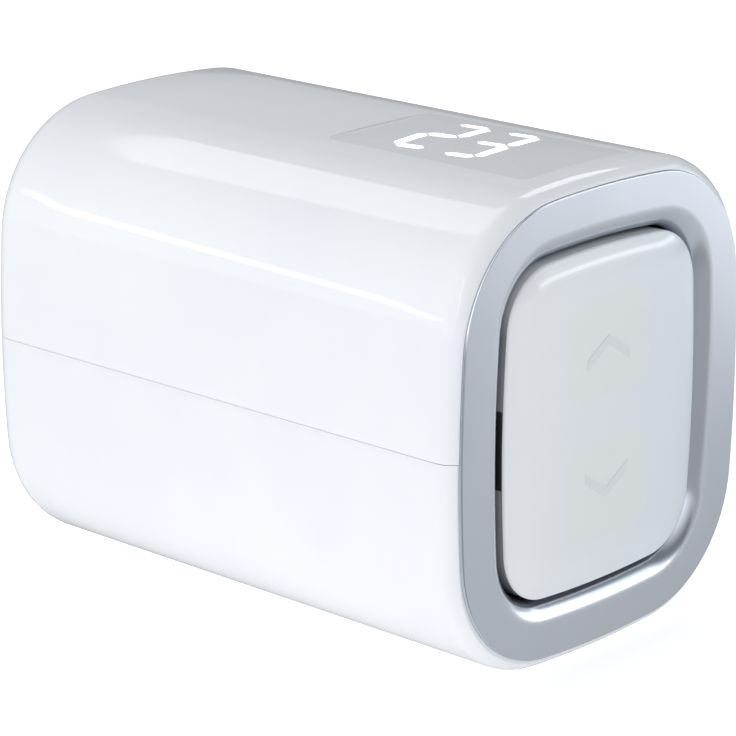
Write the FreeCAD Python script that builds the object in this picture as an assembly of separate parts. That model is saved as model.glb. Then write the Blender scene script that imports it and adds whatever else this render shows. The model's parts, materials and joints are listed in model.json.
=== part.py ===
import FreeCAD, Part
import math
import os
from FreeCAD import Vector

# A smart radiator thermostat, lying on its flat bottom. The front key faces -Y, the radiator valve +Y.
# Lengths are millimetres. While it is built, y = 0 is the front plane of the bezel; on export every
# piece moves back along -Y so that the origin is on the valve axis where the union nut's thread begins.

# Housing
HOUSING_WIDTH = 55.0
HOUSING_HEIGHT = 60.3
WALL = 1.9
CORNER_RADIUS = 17.1
SIDE_CROWN = 185.0
TOP_CROWN = 154.0
FRONT_EDGE_ROUND = 2.8
REAR_EDGE_ROUND = 3.3
SEAM_GAP = 0.2
FOOT_FLAT_DEPTH = 0.15
COVER_SETBACK = 0.5
TAB_WIDTH = 8.0
TAB_HEIGHT = 5.0
TAB_THICKNESS = 1.1
TAB_CLEARANCE = 0.15
TAB_FRONT = 21.0
TAB_REAR = 18.5
TONGUE_THICKNESS = 0.8
TONGUE_DROP = 1.2
TONGUE_ROOT = 2.5
TONGUE_CLEARANCE = 0.1

# Bezel and front key
BEZEL_SIDE_RIM = 1.55
BEZEL_TOP_RIM = 1.7
BEZEL_CORNER = 16.2
BEZEL_DEPTH = 4.2
BEZEL_FIT = 0.1
BEZEL_EDGE_ROUND = 0.5
LIP_ROUND = 3.0
KEY_WIDTH = 36.0
KEY_HEIGHT = 42.2
KEY_CORNER = 7.6
KEY_SETBACK = 0.55
KEY_DEPTH = 2.58
KEY_EDGE_ROUND = 0.4
PILLOW_RADIUS = 30.0
PILLOW_RIM = 6.5
KEY_GAP = 0.3
SKIRT_WALL = 1.2
SKIRT_HEIGHT = 1.8
FIELD_WIDTH = 16.4
FIELD_HEIGHT = 14.4
FIELD_CORNER = 4.5
FIELD_RISE = 0.25
FIELD_PITCH = 18.0
MARK_WIDTH = 8.0
MARK_RISE = 2.5
MARK_STROKE = 1.3
MARK_PROUD = 0.05

# Rocker bearings and switches
PIVOT_DEPTH = 6.0
TRUNNION_RADIUS = 1.0
TRUNNION_PROUD = 0.6
RUNNING_FIT = 0.05
EAR_THICKNESS = 1.6
EAR_HALF_HEIGHT = 3.0
FRAME_FIT = 0.25
FRAME_WALL = 1.6
FRAME_PLATE = 1.4
SEAT_GAP = 0.1
BOARD_THICKNESS = 1.1
SWITCH_BOARD_WIDTH = 28.0
SWITCH_BOARD_HEIGHT = 40.0
SWITCH_SPREAD = 13.0
SWITCH_SIZE = 6.0
SWITCH_DEPTH = 1.8
PLUNGER_RADIUS = 1.5
POST_DOME = 3.0
PRESS_POST = 0.3
PLUNGER_WELL = 0.9
PLUNGER_LENGTH = 1.0
PLUNGER_LIFT = 0.55
CONTACT_GAP = 0.02
SENSOR_RADIUS = 1.0
SENSOR_LEAD = 0.6

# Display
WINDOW_WIDTH = 19.6
WINDOW_LENGTH = 32.0
WINDOW_EDGE = 0.5
WINDOW_CORNER = 1.5
WINDOW_FIT = 0.01
DIGIT_PITCH = 7.5
DIGIT_PITCH_SHIFT = 0.5
DIGIT_FIRST_Y = 26.5
DIGIT_FIRST_X = 0.2
DIGIT_HALF_HEIGHT = 6.65
DIGIT_WIDTH = 4.5
DIGIT_ROW_TILT = 10.5
DIGIT_SLANT = 5.0
SEGMENT_STROKE = 1.35
SEGMENT_GAP = 0.25
DISPLAY_BOX_WIDTH = 17.0
DISPLAY_BOX_LENGTH = 19.0

# Batteries and chassis
CELL_RADIUS = 7.1
CELL_LENGTH = 50.5
CELL_NIPPLE_RADIUS = 2.75
CELL_NIPPLE_LENGTH = 1.3
CELL_GAP = 1.0
CELL_EDGE_ROUND = 0.5
CELL_FLOOR_GAP = 0.4
CRADLE_FIT = 0.3
CONTACT_ROOM = 1.5
CONTACT_SHEET = 0.4
CONTACT_SIZE = 11.0
BULKHEAD = 1.5
DECK_THICKNESS = 1.5
DECK_SIDE_GAP = 2.1
DECK_GEAR_GAP = 0.6
CRADLE_DROP = 5.0
POST_RADIUS = 3.0
POST_TOP = 3.0
POST_INSET_FRONT = 4.9
POST_INSET_REAR = 4.1
SCREW_RADIUS = 1.1
SCREW_HEAD_RADIUS = 2.0
SCREW_HEAD = 1.4
SCREW_LENGTH = 9.0
SCREW_FIT = 0.2

# Main board
BOARD_SIDE_GAP = 9.6
BOARD_END_GAP = 0.35
MAIN_BOARD_DROP = 6.4
BOARD_POST_RADIUS = 1.8
BOARD_SCREW_RADIUS = 0.8
CABLE_WIDTH = 8.0
CABLE_THICKNESS = 0.3
SHIELD_WIDTH = 12.0
SHIELD_LENGTH = 5.6
SHIELD_HEIGHT = 2.0
COMPONENT_GAP = 0.3
CONTROLLER_X = -5.5
CONTROLLER_SIZE = 7.0
CONTROLLER_HEIGHT = 0.9
DRIVER_X = 5.5
DRIVER_WIDTH = 3.0
DRIVER_LENGTH = 5.0
DRIVER_HEIGHT = 1.2
CAPACITOR_X = 1.2
CAPACITOR_RADIUS = 2.5
CAPACITOR_HEIGHT = 5.5

# Gearbox, seen along Y; angles are counted from +X towards +Z
MODULE = 0.5
PRESSURE_ANGLE = 20.0
BACKLASH = 0.09
GEAR_ADDENDUM = 0.35
PINION_ADDENDUM = 0.45
DEDENDUM = 0.575
PINION_TEETH = 12
WHEEL_1_TEETH = 40
WHEEL_2_TEETH = 36
NUT_TEETH = 42
NUT_PHASE = 0.0
GEAR_2_ANGLE = 150.0
GEAR_1_ANGLE = 41.0
MOTOR_ANGLE = -10.0
WHEEL_FACE = 2.0
NUT_FACE = 4.0
FACE_GAP = 0.6
PLATE_GAP = 0.7
BASE_PLATE = 1.8
COVER_PLATE = 2.0
AXLE_RADIUS = 0.75
HUB_RADIUS = 1.6
THIN_HUB_RADIUS = 1.2
NUT_HUB_RADIUS = 3.8
NUT_JOURNAL_RADIUS = 3.3
WASHER_THICKNESS = 0.4
WASHER_RADIUS = 4.6
PILLAR_RADIUS = 2.2
SIDE_PILLAR_ANGLE = 8.0
LOW_PILLAR_ANGLE = 27.0
PILLAR_ROOM = 2.2
LEAD_RADIUS = 0.4
MOTOR_RADIUS = 6.0
MOTOR_FLAT = 5.0
MOTOR_LENGTH = 15.0
MOTOR_BELL = 2.5
MOTOR_BOSS_RADIUS = 2.0
MOTOR_BOSS = 0.9
MOTOR_SHAFT_RADIUS = 0.75

# Spindle and valve connection
SPINDLE_RADIUS = 2.5
SPINDLE_SQUARE = 3.2
SPINDLE_TAIL = 9.5
STROKE = 4.5
PUSH_DISC_RADIUS = 6.0
PUSH_DISC = 1.5
GUIDE_RADIUS = 6.0
GUIDE_THICKNESS = 2.0
CLOSING_DEPTH = 11.8
NUT_RADIUS = 18.5
NUT_LENGTH = 15.0
NUT_PROUD = 4.5
NUT_FLANGE = 2.5
NUT_SCALLOPS = 24
SCALLOP_RADIUS = 1.6
THREAD_RADIUS = 14.19
MOUTH_CHAMFER = 0.5
COLLAR_RADIUS = 12.7
COLLAR_BORE = 11.0
COLLAR_FLANGE_RIM = 4.3
COLLAR_FLANGE = 2.0
COLLAR_TAIL = 0.8
COLLAR_SCREWS = 4
COLLAR_HEAD = 0.4
NUT_BACK_GAP = 0.7
THREAD_RELIEF = 0.95
SEAT_CLEARANCE = 0.25
RING_THICKNESS = 1.2
RING_PROUD = 1.1
RING_GROOVE = 0.7
WELL_GAP = 0.8
SHROUD_WALL = 1.4


def sagitta(radius, half_chord):
    """how far an arc of a radius falls away at half a chord from its middle"""
    return radius - math.sqrt(radius ** 2 - half_chord ** 2)


# Places along Y that follow from the sizes above
KEY_FRONT = KEY_SETBACK - sagitta(PILLOW_RADIUS, PILLOW_RIM)
KEY_BACK = KEY_SETBACK + KEY_DEPTH
FRAME_FRONT = BEZEL_DEPTH + SEAT_GAP
WINDOW_START = FRAME_FRONT + WINDOW_EDGE
PLUNGER_FRONT = KEY_BACK + SKIRT_WALL + PRESS_POST + CONTACT_GAP
SWITCH_FRONT = PLUNGER_FRONT + PLUNGER_LIFT
SWITCH_BOARD_FRONT = SWITCH_FRONT + SWITCH_DEPTH
FRAME_PLATE_FRONT = SWITCH_BOARD_FRONT + BOARD_THICKNESS
FRAME_BACK = FRAME_PLATE_FRONT + FRAME_PLATE
FRONT_BULKHEAD = FRAME_BACK + SEAT_GAP
CELL_BAY = FRONT_BULKHEAD + BULKHEAD
CELL_START = CELL_BAY + CONTACT_ROOM
CELL_END = CELL_START + CELL_LENGTH
REAR_BULKHEAD = CELL_END + CONTACT_ROOM
REAR_BULKHEAD_BACK = REAR_BULKHEAD + BULKHEAD
NUT_START = REAR_BULKHEAD_BACK + COLLAR_FLANGE + COLLAR_HEAD + NUT_BACK_GAP
NUT_END = NUT_START + NUT_LENGTH
HOUSING_LENGTH = NUT_END - NUT_PROUD
REAR_WALL = HOUSING_LENGTH - WALL
RING_START = NUT_START + NUT_FLANGE + FRAME_FIT
COLLAR_END = RING_START + RING_THICKNESS + COLLAR_TAIL
THREAD_START = COLLAR_END + SEAT_CLEARANCE
THREAD_END = NUT_END - MOUTH_CHAMFER
PUSH_FACE = COLLAR_END - CLOSING_DEPTH - STROKE
DISC_FRONT = PUSH_FACE - PUSH_DISC
COVER_BACK = DISC_FRONT - PLATE_GAP
COVER_FRONT = COVER_BACK - COVER_PLATE
PLANE_A = COVER_FRONT - PLATE_GAP - NUT_FACE
PLANE_B = PLANE_A - FACE_GAP - WHEEL_FACE
PLANE_C = PLANE_B - FACE_GAP - WHEEL_FACE
BASE_BACK = PLANE_C - PLATE_GAP
BASE_FRONT = BASE_BACK - BASE_PLATE
GUIDE_FRONT = BASE_FRONT - GUIDE_THICKNESS

# Places across
INNER_HALF_WIDTH = HOUSING_WIDTH / 2 - WALL
INNER_HALF_HEIGHT = HOUSING_HEIGHT / 2 - WALL
BEZEL_WIDTH = HOUSING_WIDTH - 2 * BEZEL_SIDE_RIM
BEZEL_HEIGHT = HOUSING_HEIGHT - 2 * BEZEL_TOP_RIM
CELL_SPREAD = CELL_RADIUS + CELL_GAP / 2
CELL_Z = -INNER_HALF_HEIGHT + CELL_FLOOR_GAP + CELL_RADIUS
CRADLE_RADIUS = CELL_RADIUS + CRADLE_FIT
DECK_BOTTOM = CELL_Z + CRADLE_RADIUS
DECK_TOP = DECK_BOTTOM + DECK_THICKNESS
DECK_HALF_WIDTH = INNER_HALF_WIDTH - DECK_SIDE_GAP
POST_X = DECK_HALF_WIDTH - POST_RADIUS
MAIN_BOARD_HALF = INNER_HALF_WIDTH - BOARD_SIDE_GAP
MAIN_BOARD_Z = INNER_HALF_HEIGHT - MAIN_BOARD_DROP
MAIN_BOARD_FRONT = CELL_BAY + SEAT_GAP
MAIN_BOARD_END = BASE_FRONT - SCREW_HEAD - BOARD_END_GAP
CABLE_Z = MAIN_BOARD_Z - CABLE_THICKNESS
POST_YS = (CELL_BAY + POST_INSET_FRONT, REAR_BULKHEAD - POST_INSET_REAR)
GEAR_2_DISTANCE = MODULE * (NUT_TEETH + PINION_TEETH) / 2
GEAR_1_DISTANCE = MODULE * (WHEEL_2_TEETH + PINION_TEETH) / 2
MOTOR_DISTANCE = MODULE * (WHEEL_1_TEETH + PINION_TEETH) / 2
NUT_TIP = MODULE * NUT_TEETH / 2 + GEAR_ADDENDUM
COLLAR_FLANGE_RADIUS = COLLAR_RADIUS + COLLAR_FLANGE_RIM
LARGE = 200.0
PAST = 1.0


# Helpers

def away(origin, angle, distance):
    """the point at a distance and angle from another, in (x, z)"""
    turn = math.radians(angle)
    return (origin[0] + distance * math.cos(turn), origin[1] + distance * math.sin(turn))


def section(width, height, corner, y, side=SIDE_CROWN, top=TOP_CROWN):
    """closed wire of four crowned sides and four round corners, all tangent, at one y"""
    side_centre = width / 2 - side
    top_centre = height / 2 - top
    reach_side = side - corner
    reach_top = top - corner
    span = math.hypot(side_centre, top_centre)
    along = (reach_side ** 2 - reach_top ** 2 + span ** 2) / (2 * span)
    across = math.sqrt(reach_side ** 2 - along ** 2)
    corner_x = side_centre - along * side_centre / span - across * top_centre / span
    corner_z = along * top_centre / span - across * side_centre / span
    side_end = math.atan2(corner_z, corner_x - side_centre)
    top_end = math.atan2(corner_z - top_centre, corner_x)
    middle = (side_end + top_end) / 2
    on_side = (side_centre + side * math.cos(side_end), side * math.sin(side_end))
    on_corner = (corner_x + corner * math.cos(middle), corner_z + corner * math.sin(middle))
    on_top = (top * math.cos(top_end), top_centre + top * math.sin(top_end))

    def arc(a, b, c):
        points = [Vector(p[0], y, p[1]) for p in (a, b, c)]
        return Part.Arc(*points).toShape()

    def mirrored(point, sx, sz):
        return (point[0] * sx, point[1] * sz)

    edges = []
    for sx, sz in ((1, 1), (-1, 1), (-1, -1), (1, -1)):
        corner_points = [mirrored(p, sx, sz) for p in (on_side, on_corner, on_top)]
        edges.append(arc(*corner_points))
    edges.append(arc(mirrored(on_side, 1, -1), (width / 2, 0), on_side))
    edges.append(arc(mirrored(on_side, -1, -1), (-width / 2, 0), mirrored(on_side, -1, 1)))
    edges.append(arc(mirrored(on_top, -1, 1), (0, height / 2), on_top))
    edges.append(arc(mirrored(on_top, -1, -1), (0, -height / 2), mirrored(on_top, 1, -1)))
    return Part.Wire(Part.sortEdges(edges)[0])


def section_prism(width, height, corner, start, end):
    """a straight prism of the crowned section between two y places"""
    face = Part.Face(section(width, height, corner, start))
    return face.extrude(Vector(0, end - start, 0))


def housing_prism(inset, start, end):
    """the housing's own section, smaller by the same inset all round"""
    wire = section(HOUSING_WIDTH - 2 * inset, HOUSING_HEIGHT - 2 * inset, CORNER_RADIUS - inset, start,
                   SIDE_CROWN - inset, TOP_CROWN - inset)
    return Part.Face(wire).extrude(Vector(0, end - start, 0))


def bezel_prism(inset, start, end):
    """the bezel's outer section, smaller by an inset"""
    return section_prism(BEZEL_WIDTH - 2 * inset, BEZEL_HEIGHT - 2 * inset, BEZEL_CORNER - inset, start, end)


def key_prism(inset, start, end):
    """the front key's outline, smaller by the same inset all round"""
    wire = section(KEY_WIDTH - 2 * inset, KEY_HEIGHT - 2 * inset, KEY_CORNER - inset, start,
                   SIDE_CROWN - inset, TOP_CROWN - inset)
    return Part.Face(wire).extrude(Vector(0, end - start, 0))


def box(low, high):
    """a box between two corners, each (x, y, z)"""
    size = [b - a for a, b in zip(low, high)]
    return Part.makeBox(size[0], size[1], size[2], Vector(*low))


def rod(radius, start, end, at=(0, 0)):
    """a cylinder along Y between two y places, with its axis at (x, z)"""
    return Part.makeCylinder(radius, end - start, Vector(at[0], start, at[1]), Vector(0, 1, 0))


def ring(outer, inner, start, end, at=(0, 0)):
    """a tube along Y"""
    return rod(outer, start, end, at).cut(rod(inner, start - PAST, end + PAST, at))


def post(radius, low, high, x, y):
    """a cylinder along Z"""
    return Part.makeCylinder(radius, high - low, Vector(x, y, low), Vector(0, 0, 1))


def cross_rod(radius, start, end, y, z):
    """a cylinder along X"""
    return Part.makeCylinder(radius, end - start, Vector(start, y, z), Vector(1, 0, 0))


def joined(shapes):
    """one solid of overlapping or touching shapes"""
    return shapes[0].multiFuse(shapes[1:]).removeSplitter()


def group(shapes):
    """several separate solids in one piece"""
    return Part.makeCompound(shapes)


def edges_at(shape, y, longer_than=0.0):
    """edges that lie wholly in the plane at one y"""
    found = []
    for edge in shape.Edges:
        bounds = edge.BoundBox
        if abs(bounds.YMin - y) < 1e-4 and abs(bounds.YMax - y) < 1e-4 and edge.Length > longer_than:
            found.append(edge)
    return found


def both_sides():
    """the two signs of x"""
    return (-1, 1)


# Housing

def housing_block():
    """the housing's outside as one block, with round front and rear edges and a flat foot"""
    block = housing_prism(0, 0, HOUSING_LENGTH)
    block = block.makeFillet(FRONT_EDGE_ROUND, edges_at(block, 0))
    block = block.makeFillet(REAR_EDGE_ROUND, edges_at(block, HOUSING_LENGTH))
    foot = -HOUSING_HEIGHT / 2 + FOOT_FLAT_DEPTH
    return block.common(box((-LARGE, -LARGE, foot), (LARGE, LARGE, LARGE)))


def housing_skin():
    """the hollow housing before it is split: cavity, bezel seat and the well for the union nut"""
    skin = housing_block().cut(housing_prism(WALL, -PAST, REAR_WALL))
    skin = skin.cut(bezel_prism(-BEZEL_FIT, -PAST, FRAME_FRONT))
    return skin.cut(rod(NUT_RADIUS + WELL_GAP, REAR_WALL - PAST, HOUSING_LENGTH + PAST))


def window_block(clearance, low, high):
    """the upright block that bounds the display window"""
    half = WINDOW_WIDTH / 2 + clearance
    start = WINDOW_START - clearance
    end = WINDOW_START + WINDOW_LENGTH + clearance
    block = box((-half, start, low), (half, end, high))
    upright = [e for e in block.Edges if e.BoundBox.ZLength > 1]
    return block.makeFillet(WINDOW_CORNER + clearance, upright)


def post_places():
    """(x, y) of the four screw posts that join the chassis and the upper shell"""
    return [(side * POST_X, y) for side in both_sides() for y in POST_YS]


def shell_boss(x, y):
    """a screw boss hanging from the inside of the upper shell"""
    boss = post(POST_RADIUS, POST_TOP + SEAT_GAP, HOUSING_HEIGHT / 2, x, y)
    return boss.common(housing_prism(WALL / 2, 0, HOUSING_LENGTH))


def board_posts():
    """(x, y) of the four small posts that hold the main board"""
    inset = 2 * BOARD_POST_RADIUS
    xs = (-MAIN_BOARD_HALF + inset, MAIN_BOARD_HALF - inset)
    ys = (MAIN_BOARD_FRONT + inset, MAIN_BOARD_END - inset)
    return [(x, y) for x in xs for y in ys]


def upper_shell():
    shell = housing_skin().common(box((-LARGE, -LARGE, SEAM_GAP / 2), (LARGE, LARGE, LARGE)))
    bosses = [shell_boss(x, y) for x, y in post_places()]
    for x, y in board_posts():
        hanger = post(BOARD_POST_RADIUS, MAIN_BOARD_Z + BOARD_THICKNESS, HOUSING_HEIGHT / 2, x, y)
        bosses.append(hanger.common(housing_prism(WALL / 2, 0, HOUSING_LENGTH)))
    shell = joined([shell, tongue()] + bosses)
    shell = shell.cut(window_block(0, 0, LARGE))
    for x, y in post_places():
        shell = shell.cut(post(SCREW_RADIUS, POST_TOP - PAST, POST_TOP + SCREW_LENGTH, x, y))
    for x, y in board_posts():
        depth = MAIN_BOARD_Z + BOARD_THICKNESS + 3 * BOARD_SCREW_RADIUS
        shell = shell.cut(post(BOARD_SCREW_RADIUS, MAIN_BOARD_Z, depth, x, y))
    return shell


def tab_places():
    """y of the middles of the snap tabs"""
    return (TAB_FRONT, REAR_BULKHEAD - TAB_REAR)


def tongue():
    """thin lip inside the upper shell that covers the seam, with gaps for the bulkheads and the tabs"""
    inside = WALL + TONGUE_THICKNESS
    root = housing_prism(WALL / 2, 0, HOUSING_LENGTH).cut(housing_prism(inside, -PAST, LARGE))
    root = root.common(box((-LARGE, 0, SEAM_GAP / 2), (LARGE, LARGE, TONGUE_ROOT)))
    lip = housing_prism(WALL + TONGUE_CLEARANCE, 0, HOUSING_LENGTH).cut(housing_prism(inside, -PAST, LARGE))
    lip = lip.common(box((-LARGE, 0, -TONGUE_DROP), (LARGE, LARGE, TONGUE_ROOT)))
    band = joined([root, lip])
    spans = ((CELL_BAY, REAR_BULKHEAD), (REAR_BULKHEAD_BACK, REAR_WALL + FRAME_FIT))
    lengths = [box((-LARGE, a + FRAME_FIT, -LARGE), (LARGE, b - FRAME_FIT, LARGE)) for a, b in spans]
    band = band.common(joined(lengths))
    reach = TAB_WIDTH / 2 + FRAME_FIT
    for middle in tab_places():
        band = band.cut(box((-LARGE, middle - reach, -LARGE), (LARGE, middle + reach, LARGE)))
    return band


def lower_shell():
    """the battery cover: lower half of the housing with four snap tabs that reach up inside"""
    shell = housing_skin().common(box((-LARGE, COVER_SETBACK, -LARGE), (LARGE, LARGE, -SEAM_GAP / 2)))
    tabs = []
    tab_band = housing_prism(WALL + TAB_CLEARANCE, 0, REAR_WALL)
    tab_band = tab_band.cut(housing_prism(WALL + TAB_CLEARANCE + TAB_THICKNESS, -PAST, REAR_WALL + PAST))
    root_band = housing_prism(WALL - TAB_CLEARANCE, 0, REAR_WALL)
    root_band = root_band.cut(housing_prism(WALL + TAB_CLEARANCE + TAB_THICKNESS, -PAST, REAR_WALL + PAST))
    for middle in tab_places():
        for side in both_sides():
            near = min(side * LARGE, 0)
            far = max(side * LARGE, 0)
            low = (near, middle - TAB_WIDTH / 2, -TAB_HEIGHT)
            high = (far, middle + TAB_WIDTH / 2, TAB_HEIGHT)
            tabs.append(tab_band.common(box(low, high)))
            root_high = (far, middle + TAB_WIDTH / 2, -SEAM_GAP)
            tabs.append(root_band.common(box(low, root_high)))
    return joined([shell] + tabs)


# Front key and bezel

def front_bezel():
    """the metallised ring: flat face, rolled inner lip"""
    body = bezel_prism(0, 0, BEZEL_DEPTH)
    body = body.makeFillet(BEZEL_EDGE_ROUND, edges_at(body, 0))
    body = body.cut(key_prism(-KEY_GAP, -PAST, BEZEL_DEPTH + PAST))
    opening = [e for e in edges_at(body, 0) if is_inside_key(e)]
    return body.makeFillet(LIP_ROUND, opening)


def is_inside_key(edge):
    """true for an edge of the bezel's opening"""
    centre = edge.CenterOfMass
    inside_width = abs(centre.x) < KEY_WIDTH / 2 + 2 * KEY_GAP
    return inside_width and abs(centre.z) < KEY_HEIGHT / 2 + 2 * KEY_GAP


def pillow(lift=0.0):
    """a block with a flat front and a wide soft rim, which gives the front key its face"""
    front = KEY_FRONT - lift
    block = key_prism(PILLOW_RIM - PILLOW_RADIUS, front, front + 2 * PILLOW_RADIUS)
    return block.makeFillet(PILLOW_RADIUS, edges_at(block, front))


def rounded_block(width, height, corner, place, start, end):
    """a block along Y with round long edges, its middle at (x, z)"""
    x, z = place
    block = box((x - width / 2, start, z - height / 2), (x + width / 2, end, z + height / 2))
    long_edges = [e for e in block.Edges if e.BoundBox.YLength > (end - start) / 2]
    return block.makeFillet(corner, long_edges)


def rocker_key():
    """the front plate with its soft rim and two faint raised fields"""
    plate = key_prism(0, -PILLOW_RADIUS, KEY_BACK).common(pillow())
    half_width = KEY_WIDTH / 2 - PILLOW_RIM / 2
    half_height = KEY_HEIGHT / 2 - PILLOW_RIM / 2
    rim = []
    for edge in plate.Edges:
        middle = edge.CenterOfMass
        outside = abs(middle.x) > half_width or abs(middle.z) > half_height
        if outside and abs(edge.BoundBox.YMax - KEY_SETBACK) < KEY_EDGE_ROUND / 2:
            rim.append(edge)
    plate = plate.makeFillet(KEY_EDGE_ROUND, rim)
    fields = []
    for side in both_sides():
        place = (0, side * FIELD_PITCH / 2)
        block = rounded_block(FIELD_WIDTH, FIELD_HEIGHT, FIELD_CORNER, place, -PILLOW_RADIUS, KEY_DEPTH / 2)
        fields.append(block.common(pillow(FIELD_RISE)))
    return joined([plate] + fields)


def chevron(direction, z):
    """one chevron mark, a bent bar whose tip points along +Z or -Z, as a block along Y"""
    half = MARK_WIDTH / 2
    drop = direction * MARK_RISE
    stroke = direction * MARK_STROKE
    middle = z - drop / 2
    outline = [(-half, middle), (0, middle + drop), (half, middle), (half, middle - stroke),
               (0, middle + drop - stroke), (-half, middle - stroke)]
    points = [Vector(p[0], -PILLOW_RADIUS, p[1]) for p in outline]
    return Part.Face(Part.makePolygon(points + points[:1])).extrude(Vector(0, PILLOW_RADIUS + PAST, 0))


def key_marks():
    """two thin chevrons on the fields"""
    marks = []
    for direction in (1, -1):
        block = chevron(direction, direction * FIELD_PITCH / 2)
        marks.append(block.common(pillow(FIELD_RISE + MARK_PROUD)).cut(pillow(FIELD_RISE)))
    return group(marks)


def rocker_carrier():
    """skirt behind the key, with two trunnions and two posts that press the switches"""
    start = KEY_BACK
    skirt_end = KEY_BACK + SKIRT_HEIGHT
    skirt = key_prism(0, start, skirt_end).cut(key_prism(SKIRT_WALL, start - PAST, skirt_end + PAST))
    floor = key_prism(0, start, start + SKIRT_WALL)
    pieces = [skirt, floor]
    tip = PLUNGER_FRONT - CONTACT_GAP
    for side in both_sides():
        outer = KEY_WIDTH / 2
        inner = outer - SKIRT_WALL
        xs = sorted((side * inner, side * outer))
        arm_end = PIVOT_DEPTH + TRUNNION_RADIUS
        arm = box((xs[0], start, -EAR_HALF_HEIGHT), (xs[1], arm_end, EAR_HALF_HEIGHT))
        pieces.append(arm)
        ends = sorted((side * inner, side * (outer + KEY_GAP + EAR_THICKNESS + TRUNNION_PROUD)))
        pieces.append(cross_rod(TRUNNION_RADIUS, ends[0], ends[1], PIVOT_DEPTH, 0))
        z = side * SWITCH_SPREAD
        dome = Part.makeSphere(POST_DOME, Vector(0, tip - POST_DOME, z))
        pieces.append(rod(PLUNGER_RADIUS, start, tip, (0, z)).common(dome))
    return joined(pieces)


def front_frame():
    """rim behind the bezel, back plate for the switch board, and the ears the key's trunnions turn in"""
    inset = WALL + FRAME_FIT
    rim = housing_prism(inset, FRAME_FRONT, FRAME_BACK)
    rim = rim.cut(housing_prism(inset + FRAME_WALL, FRAME_FRONT - PAST, FRAME_PLATE_FRONT))
    ears = []
    for side in both_sides():
        inner = KEY_WIDTH / 2 + KEY_GAP
        xs = sorted((side * inner, side * (inner + EAR_THICKNESS)))
        low = (xs[0], FRAME_FRONT, -EAR_HALF_HEIGHT)
        ears.append(box(low, (xs[1], FRAME_PLATE_FRONT, EAR_HALF_HEIGHT)))
    frame = joined([rim] + ears)
    reach = KEY_WIDTH / 2 + KEY_GAP + EAR_THICKNESS + FRAME_FIT
    frame = frame.cut(cross_rod(TRUNNION_RADIUS + RUNNING_FIT, -reach, reach, PIVOT_DEPTH, 0))
    return frame.cut(cable_slot(FRAME_PLATE_FRONT - PAST, FRAME_BACK + PAST))


def cable_slot(start, end):
    """opening that the flat cable runs through"""
    room = 2 * FRAME_FIT
    half = CABLE_WIDTH / 2 + room
    return box((-half, start, CABLE_Z - room), (half, end, CABLE_Z + CABLE_THICKNESS + room))


def flex_cable():
    """flat cable from the switch board's top edge to the underside of the main board"""
    half = CABLE_WIDTH / 2
    end = MAIN_BOARD_FRONT + CABLE_WIDTH / 2
    return box((-half, SWITCH_BOARD_FRONT, CABLE_Z), (half, end, CABLE_Z + CABLE_THICKNESS))


def switch_board():
    half = SWITCH_BOARD_WIDTH / 2
    low = (-half, SWITCH_BOARD_FRONT, -SWITCH_BOARD_HEIGHT / 2)
    return box(low, (half, FRAME_PLATE_FRONT, CABLE_Z))


def switch_bodies():
    """two low push switches, each with a well for its plunger"""
    half = SWITCH_SIZE / 2
    bodies = []
    for side in both_sides():
        z = side * SWITCH_SPREAD
        body = box((-half, SWITCH_FRONT, z - half), (half, SWITCH_BOARD_FRONT, z + half))
        well = rod(PLUNGER_RADIUS + RUNNING_FIT, SWITCH_FRONT - PAST, SWITCH_FRONT + PLUNGER_WELL, (0, z))
        bodies.append(body.cut(well))
    return group(bodies)


def plunger(side):
    return rod(PLUNGER_RADIUS, PLUNGER_FRONT, PLUNGER_FRONT + PLUNGER_LENGTH, (0, side * SWITCH_SPREAD))


def temperature_sensor():
    """a bead at the lower end of the switch board"""
    z = -SWITCH_BOARD_HEIGHT / 2 + 3 * SENSOR_RADIUS / 2
    bead = Part.makeSphere(SENSOR_RADIUS, Vector(0, SWITCH_BOARD_FRONT - SENSOR_RADIUS, z))
    half = SENSOR_LEAD / 2
    lead = box((-half, SWITCH_BOARD_FRONT - SENSOR_LEAD, z), (half, SWITCH_BOARD_FRONT, z + SENSOR_LEAD))
    return joined([bead, lead])


# Display

SEGMENT_NAMES = ("top", "middle", "bottom", "upper_left", "upper_right", "lower_left", "lower_right")
LIT = (("top", "upper_right", "middle", "lower_left", "bottom"),
       ("top", "upper_right", "middle", "lower_right", "bottom"))


def display_window():
    """translucent inlay flush with the top, pierced by the light guides"""
    lens = housing_prism(0, 0, HOUSING_LENGTH).common(window_block(-WINDOW_FIT, 0, LARGE))
    lens = lens.cut(housing_prism(WALL, -PAST, HOUSING_LENGTH + PAST))
    for digit in range(len(LIT)):
        for name in SEGMENT_NAMES:
            lens = lens.cut(segment_block(digit, name))
    return lens


def digit_point(digit, across, up):
    """(x, y) on the top for a place in a digit: across the text, and up it, from the digit's middle"""
    row = math.radians(DIGIT_ROW_TILT)
    slant = math.radians(DIGIT_SLANT)
    x = DIGIT_FIRST_X + digit * DIGIT_PITCH_SHIFT + across * math.sin(row) + up * math.cos(slant)
    y = DIGIT_FIRST_Y - digit * DIGIT_PITCH - across * math.cos(row) + up * math.sin(slant)
    return (x, y)


def segment_ends(name):
    """the two ends (across, up) of a segment's centre line, before its gaps"""
    half = DIGIT_WIDTH / 2
    tall = DIGIT_HALF_HEIGHT
    if name in ("top", "middle", "bottom"):
        up = {"top": tall, "middle": 0.0, "bottom": -tall}[name]
        return ((-half, up), (half, up))
    across = half if name.endswith("right") else -half
    if name.startswith("upper"):
        return ((across, 0.0), (across, tall))
    return ((across, -tall), (across, 0.0))


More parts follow.
